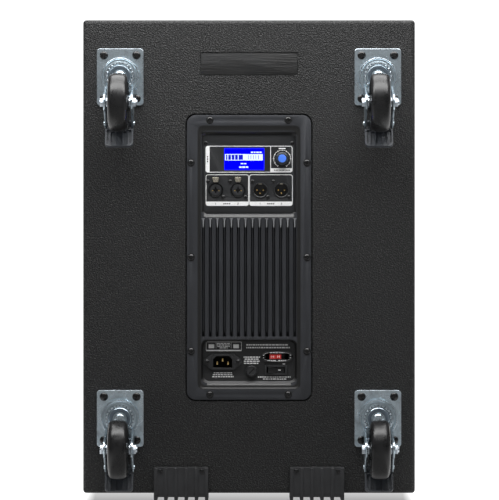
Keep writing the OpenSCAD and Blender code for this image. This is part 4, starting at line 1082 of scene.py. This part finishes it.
def caster_crown(corner, at):
    """Dished crown of the fork: a teardrop with a rolled rim, coloured lighter as a painted highlight, a slope
    inside it, coloured dark as painted shade, and the dimpled cover of the race."""
    body = "swivel_" + corner
    outline = arc(0, 0, CROWN_R, -40, 220, 60) + [(-18.7, -21), (-18.5, -27), (18.5, -27), (18.7, -21)]

    def shell(name, look, sections, closed):
        mesh = bmesh.new()
        loops = []
        for inset, out in sections:
            scale = 1 - inset / CROWN_R
            loops.append([mesh.verts.new(at(x * scale, z * scale, out)) for x, z in outline])
        loft(mesh, loops, closed=closed)
        piece(name + corner, mesh, look, body)

    shell("caster_crown_", ZINC_PAINTED_SHADE, ((0.3, 9.8), (0.0, 10.6), (0.1, 12.4), (1.2, 13.0), (4.2, 11.6)), False)
    shell("caster_crown_rim_", ZINC_HIGHLIGHT, (
        (-0.05, 11.6), (-0.05, 13.0), (0.3, 13.7), (0.8, 13.9), (1.3, 13.7), (1.6, 13.0), (1.6, 11.6)
    ), True)
    centre = at(0, 0, 0)

    def ring(name, look, profile, dimples=()):
        mesh = bmesh.new()
        if profile:
            lathe(mesh, profile, centre, OUT, 96, closed=True)
        for i in range(24 if dimples else 0):
            a = math.tau * i / 24
            lathe(mesh, dimples, at(DIMPLE_RING_R * math.cos(a), DIMPLE_RING_R * math.sin(a), 0), OUT, 12)
        piece(name + corner, mesh, look, body)

    ring("caster_race_cover_", ZINC, (
        (19.7, 11.9), (19.6, 13.6), (19.0, 14.6), (17.2, 15.1), (15.6, 14.9), (15.1, 14.2), (15.1, 13.4),
        (19.2, 11.9)
    ))
    # dimples in the dark zinc: painted shade
    ring("caster_race_dimple_shade_", ZINC_PAINTED_SHADE, (), ((0, 14.7), (1.1, 14.7), (1.0, 15.15), (0, 15.3)))


def caster_cap(corner, at):
    """Sunk ring around the dome of the king pin, coloured dark as painted shade."""
    mesh = bmesh.new()
    profile = [(9.0, 15.6), (13.5, 15.4), (13.7, 15.95), (10.2, 16.35), (9.2, 16.1)]
    lathe(mesh, profile, at(0, 0, 0), OUT, 96, closed=True)
    piece("caster_kingpin_ring_" + corner, mesh, ZINC_PAINTED_SHADE)


def caster_wheel(corner):
    """Crowned tyre with round shoulders on a dished hub."""
    hub = pivot("roll_" + corner)
    half = [
        (0.0, 37.5), (3.0, 37.42), (6.0, 37.1), (8.4, 36.5), (10.2, 35.4), (11.5, 33.7), (12.2, 31.6),
        (12.5, 29.6), (12.5, 28.6), (12.1, 28.0), (11.2, 27.8)
    ]
    mesh = bmesh.new()
    profile = [(r, -h) for h, r in reversed(half)] + [(r, h) for h, r in half[1:]]
    lathe(mesh, profile + [(26.4, 10.6), (26.4, -10.6)], hub, AXLE, 128, closed=True)
    wheel = "caster_wheel_" + corner
    piece(wheel + "_tyre", mesh, TYRE, "wheel_" + corner, (wheel,))
    mesh = bmesh.new()
    side = [
        (4.1, 12.5), (8.4, 12.5), (9.0, 11.9), (9.4, 8.8), (10.6, 8.0), (22.4, 8.0), (24.2, 9.2),
        (25.0, 10.9), (26.3, 11.2)
    ]
    lathe(mesh, side + [(r, -h) for r, h in reversed(side)], hub, AXLE, 96, closed=True)
    for turn in range(6):
        a = math.tau * turn / 6
        for face in (-1, 1):
            spoke = box(mesh, (-1.2 * MM, 9.5 * MM, -1.3 * MM), (1.2 * MM, 24 * MM, 1.3 * MM))
            bmesh.ops.translate(mesh, verts=spoke, vec=(face * 9.0 * MM, 0, 0))
            bmesh.ops.rotate(mesh, verts=spoke, cent=(0, 0, 0), matrix=Matrix.Rotation(a, 3, "X"))
            bmesh.ops.translate(mesh, verts=spoke, vec=hub)
    piece(wheel + "_hub", mesh, HUB, "wheel_" + corner)


def caster_pedal(corner):
    """Brake pedal: a lever with its shoe, and a tray-shaped foot plate with upright ribs."""
    hinge = pivot("brake_" + corner)
    spot = swivel_spot(corner)
    reach = spot(0, -91, 42) - hinge
    reach.x = 0
    length = reach.length / MM
    along = reach.normalized()
    out = Vector((1, 0, 0)).cross(along)
    if out.y > 0:
        out = -out

    def at(x, u, w):
        return hinge + Vector((x * MM, 0, 0)) + along * u * MM + out * w * MM

    def slab(x0, x1, u0, u1, w0, w1):
        corners = [(x0, u0), (x1, u0), (x1, u1), (x0, u1)]
        loft(mesh, [[mesh.verts.new(at(x, u, w)) for x, u in corners] for w in (w0, w1)])

    mesh = bmesh.new()
    foot = [(-18, 8.5)] + arc(-13, length - 5, 5, 180, 90, 8) + arc(13, length - 5, 5, 90, 0, 8) + [(18, 8.5)]
    edge = [(x * 0.975, 8.5 + (u - 8.5) * 0.985) for x, u in foot]
    inner = arc(-12.2, length - 6, 3.6, 180, 90, 8) + arc(12.2, length - 6, 3.6, 90, 0, 8)
    inner = [(-15.8, 10.5)] + inner + [(15.8, 10.5)]
    sections = ((foot, -3.2), (foot, 0.9), (edge, 1.5), (inner, 1.5), (inner, -1.2))
    loft(mesh, [[mesh.verts.new(at(x, u, w)) for x, u in outline] for outline, w in sections])
    for x in (-11.4, -4.6, 4.6, 11.4):
        slab(x - 0.9, x + 0.9, 10, length - 3.4, -1.5, 0.6)
    slab(-10.2, 10.2, 8.2, 13, -1.5, 0.2)
    # barrel and arms
    lathe(mesh, [(0, -15.5), (4.5, -15.5), (4.5, 15.5), (0, 15.5)], hinge, AXLE, 32)
    for x0, x1 in ((-15.5, -11.5), (11.5, 15.5)):
        slab(x0, x1, 1, 10.6, -3.2, 1.4)
    pedal = "caster_pedal_" + corner
    piece(pedal + "_foot", mesh, PEDAL_PLASTIC, "pedal_" + corner, (pedal,))
    # shoe towards the tread, as in the CAD
    mesh = bmesh.new()
    shoe = [(-3, 2), (-8, 2), (-7.5, 8.6), (-5.4, 9.8), (-3, 8.6)]
    sides = [
        [mesh.verts.new(Vector((hinge.x + x * MM, hinge.y - w * MM, hinge.z + u * MM))) for u, w in shoe]
        for x in (-10.5, 10.5)
    ]
    loft(mesh, sides)
    bevelled(mesh, 0.4 * MM)
    piece(pedal + "_shoe", mesh, PEDAL_PLASTIC, "pedal_" + corner)


for corner in CASTERS:
    at = swivel_spot(corner)
    caster_plate_dress(corner, at)
    caster_crown(corner, at)
    caster_cap(corner, at)
    caster_wheel(corner)
    caster_pedal(corner)
    softened("caster_fork_" + corner, 0.45, ZINC, "swivel_" + corner)
    softened("caster_axle_" + corner, 0.3, ZINC_HIGHLIGHT, "swivel_" + corner)


def plate_screws():
    """Domed black screws of the mounting plates, each with a cross recess drawn in black as painted shadow."""
    dome = [(0, 5.2), (1.6, 5.1), (3.4, 4.7), (4.7, 4.0), (5.3, 3.1), (5.4, 2.5), (4.9, 2.3), (0, 2.3)]
    heads, recesses = bmesh.new(), bmesh.new()
    for corner in CASTERS:
        at = swivel_spot(corner)
        for x, up in SCREWS:
            lathe(heads, dome, at(x, up, 0), OUT, 48)
            # cross recess: thin black bars standing just out of the dome, painted shadow
            for wide, tall in ((0.42, 1.9), (1.9, 0.42)):
                box(recesses, at(x - wide, up - tall, 5.23), at(x + wide, up + tall, 4.6))
    piece("caster_screw_heads", heads, SCREW, replaces=("caster_screws",))
    piece("caster_screw_recess_shadows", recesses, PAINTED_SHADOW)


plate_screws()
softened("caster_kingpins", 0.3, ZINC)


# ---------------------------------------------------------------- cabinet

def rating_recess():
    """Blank plate in the recess near the top, brushed from side to side."""
    mesh = bmesh.new()
    top = pivot("swivel_tl").z + 17.0 * MM
    outline = [(x * MM, top + u * MM) for x, u in round_rect(0, 0, 124.4, 28.4, 1.6)]
    front = REAR_Y + 0.8 * MM
    prism(mesh, outline, front, REAR_Y + 1.19 * MM)
    bevelled(mesh, 0.2 * MM)
    piece("rating_plate", mesh, BRUSHED_PAINT)


def screw_well_shade():
    """Dark rings around the screws of the amplifier's flange: painted shade of the wells the screws sit in."""
    mesh = bmesh.new()
    spots = [(x * 50.5, z * 177) for x in (-1, 1) for z in (-1, 1)]
    spots += [(x * 74.8, z) for x in (-1, 1) for z in (-121, 0, 122)]
    for x, z in spots:
        outer, inner = (on_panel(circle(x, z, radius, 40)) for radius in (4.9, 3.95))
        ring_prism(mesh, outer, inner, REAR_Y - 0.12 * MM, REAR_Y + 0.1 * MM)
    piece("amp_screw_well_shade", mesh, PAINTED_SHADOW)


def grille():
    """Steel tray with a hexagonally perforated face, folded walls and six blocks."""
    low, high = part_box("grille")
    face, back = high.y, low.y
    sheet = 1.2 * MM
    cx, cz = (low.x + high.x) / 2, (low.z + high.z) / 2
    wide, tall = high.x - low.x, high.z - low.z

    def frame_ring(width, height, radius, inset, y0, y1):
        ring_prism(
            mesh, round_rect(cx, cz, width, height, radius, 6),
            round_rect(cx, cz, width - 2 * inset, height - 2 * inset, max(radius - inset, 0.5 * MM), 6), y0, y1
        )

    mesh = bmesh.new()
    frame_ring(wide, tall, 4 * MM, sheet, back, face - 0.3 * MM)
    frame_ring(wide - 0.6 * MM, tall - 0.6 * MM, 3.7 * MM, 11 * MM, face - sheet, face)
    for x in (-1, 1):
        for z in (-1, 0, 1):
            px, pz = cx + x * (wide / 2 - 8 * MM), cz + z * (tall / 2 - 8 * MM)
            box(mesh, (px - 7 * MM, back, pz - 7 * MM), (px + 7 * MM, face - sheet, pz + 7 * MM))
    piece("grille_tray", mesh, GRILLE, replaces=("grille",))
    # perforated sheet: hexagonal cells, each with a hexagonal hole
    pitch, hole = 9.0 * MM, 3.5 * MM
    cell = pitch / math.sqrt(3)
    mesh = bmesh.new()
    front, rear = face - 0.1 * MM, face - sheet + 0.1 * MM
    columns = int((wide - 16 * MM) / pitch / 2)
    rows = int((tall - 16 * MM) / (1.5 * cell) / 2)
    corner = {}

    def vert(x, y, z):
        key = (round(x * 1e5), round(y * 1e6), round(z * 1e5))
        if key not in corner:
            corner[key] = mesh.verts.new((x, y, z))
        return corner[key]

    for row in range(-rows, rows + 1):
        for column in range(-columns, columns + 1 - abs(row) % 2):
            hx = cx + (column + (0.5 if row % 2 else 0)) * pitch
            hz = cz + row * 1.5 * cell
            rings = []
            for radius, y in ((cell, front), (hole, front), (hole, rear), (cell, rear)):
                rings.append([
                    vert(hx + radius * math.sin(math.tau * k / 6), y, hz + radius * math.cos(math.tau * k / 6))
                    for k in range(6)
                ])
            for one, two in zip(rings, rings[1:]):
                for k in range(6):
                    j = (k + 1) % 6
                    mesh.faces.new((one[k], one[j], two[j], two[k]))
    edge = [e for e in mesh.edges if e.is_boundary and all(v.co.y > (front + rear) / 2 for v in e.verts)]
    for e in edge:
        a, b = e.verts
        mesh.faces.new((a, b, vert(b.co.x, rear, b.co.z), vert(a.co.x, rear, a.co.z)))
    piece("grille_sheet", mesh, GRILLE)


def tray_floor():
    """Darker, smoother coat on the floor of the mains tray; the darkness is painted shade in the sunken tray.
    """
    data = bpy.data.objects["amp_heatsink_soft"].data
    data.materials.append(TRAY_PAINTED_SHADE)
    for face in data.polygons:
        if face.normal.y < -0.9 and abs(face.center.y - TRAY_FLOOR) < 0.3 * MM:
            face.material_index = 1


rating_recess()
screw_well_shade()
grille()
for node, width, look, slot in (
    ("amp_heatsink", 0.5, CASTING, "amp_casting"), ("control_plate", 0.2, CONTROL, "control_paint"),
    ("amp_screws", 0.3, SCREW, "black_steel"), ("case_screws", 0.3, SCREW, "black_steel"),
    ("feet", 0.5, FOOT_RUBBER, "foot_rubber"), ("side_handles", 0.8, BLACK_PLASTIC, "black_plastic"),
    ("pole_socket", 0.6, BLACK_STEEL, "black_steel"), ("woofer_basket", 0.5, BASKET, "black_steel"),
    ("woofer_screws", 0.4, SCREW, "black_steel"),
):
    softened(node, width, look)
tray_floor()


# ---------------------------------------------------------------- stage, light and camera

def stage_look():
    """White sweep that glows more and more towards the backdrop, with a painted shadow: it glows less under and
    in front of the cabinet.
    """
    look = Look("studio_sweep").set(Roughness=0.9, Specular_IOR_Level=0.1)
    shade = look.ramp(look.noise(3, 2.0), [(0.3, 0.94), (0.7, 0.98)])
    look.colour(look.mix(0.85, shade, (0.02, 0.02, 0.02)))
    look.link(shade, look.shader.inputs["Emission Color"])
    place = look.node("ShaderNodeSeparateXYZ")
    look.link(look.place, place.inputs["Vector"])

    def ranged(source, *values):
        made = look.node("ShaderNodeMapRange")
        for name, value in zip(("From Min", "From Max", "To Min", "To Max"), values):
            made.inputs[name].default_value = value
        look.link(source, made.inputs["Value"])
        return made.outputs["Result"]

    def combined(operation, one, two):
        made = look.node("ShaderNodeMath", operation=operation)
        for socket, value in zip(made.inputs, (one, two)):
            if isinstance(value, (int, float)):
                socket.default_value = value
            else:
                look.link(value, socket)
        return made.outputs["Value"]

    # painted shadow: dim under and in front of the cabinet, bright beside and behind it
    off_middle = ranged(combined("ABSOLUTE", place.outputs["X"], 0.0), 0.192, 0.214, 0.0, 1.15)
    beside = combined("MULTIPLY", off_middle, ranged(place.outputs["Y"], -0.7, -0.2, 0.0, 1.0))
    glow = combined("MAXIMUM", beside, ranged(place.outputs["Y"], -0.3, 0.2, 0.2, 1.15))
    look.link(glow, look.shader.inputs["Emission Strength"])
    look.bump(look.noise(40, 2.0), 0.0005)
    return look.material


def studio():
    """A pale floor that curves up into the backdrop, wide enough to be seen from every side."""
    mesh = bmesh.new()
    half, near, bend, tall = 14.0, -14.0, 2.2, 6.0
    start = 11.0
    profile = [(near, 0.0)] + [
        (start + bend * math.sin(math.radians(a)), bend - bend * math.cos(math.radians(a)))
        for a in range(0, 91, 6)
    ] + [(start + bend, tall)]
    rows = [[mesh.verts.new((x, y, z - 0.0002)) for x in (-half, half)] for y, z in profile]
    for one, two in zip(rows, rows[1:]):
        mesh.faces.new((one[0], one[1], two[1], two[0]))
    data = bpy.data.meshes.new("studio_floor")
    mesh.to_mesh(data)
    mesh.free()
    smooth(data, 60)
    data.materials.append(stage_look())
    floor = bpy.data.objects.new("studio_floor", data)
    bpy.context.scene.collection.objects.link(floor)


def area_light(name, place, target, width, height, power, colour=(1, 1, 1)):
    data = bpy.data.lights.new(name, "AREA")
    data.shape = "RECTANGLE"
    data.size, data.size_y = width, height
    data.energy = power
    data.color = colour
    lamp = bpy.data.objects.new(name, data)
    bpy.context.scene.collection.objects.link(lamp)
    lamp.location = place
    lamp.visible_camera = False
    lamp.rotation_euler = (Vector(target) - Vector(place)).to_track_quat("-Z", "Y").to_euler()


def lights():
    world = bpy.data.worlds.new("studio")
    bpy.context.scene.world = world
    world.use_nodes = True
    background = world.node_tree.nodes["Background"]
    background.inputs["Color"].default_value = (1.0, 1.0, 1.0, 1.0)
    background.inputs["Strength"].default_value = 0.08
    area_light("key", (0.0, -0.5, 1.02), (0.0, -0.25, 0.1), 1.3, 0.34, 12.5)
    area_light("top", (0.0, 0.3, 2.0), (0.0, 0.1, 0.6), 1.6, 1.2, 28)
    area_light("front", (0.0, -2.2, 2.3), (0.0, -0.2, 0.3), 1.5, 0.5, 4.5)
    area_light("card", (0.0, -4.4, 0.35), (0.0, 0.0, 0.35), 3.2, 2.0, 4)
    area_light("left", (-2.2, -0.6, 0.9), (0.0, 0.0, 0.35), 0.8, 1.6, 1.2)
    area_light("right", (2.2, -0.6, 0.9), (0.0, 0.0, 0.35), 0.8, 1.6, 1.2)


def camera():
    """Level with the middle of the cabinet, far enough back that its sides stay hidden."""
    distance, seen = 3.8, 0.6445
    data = bpy.data.cameras.new("camera")
    data.sensor_width = 36.0
    data.lens = 36.0 * distance / seen
    data.clip_end = 60
    made = bpy.data.objects.new("camera", data)
    bpy.context.scene.collection.objects.link(made)
    made.location = (0.0006, REAR_Y - distance, 0.3235)
    made.rotation_euler = (math.radians(90), 0, 0)
    bpy.context.scene.camera = made


studio()
lights()
camera()
bpy.context.scene.view_settings.view_transform = "Standard"
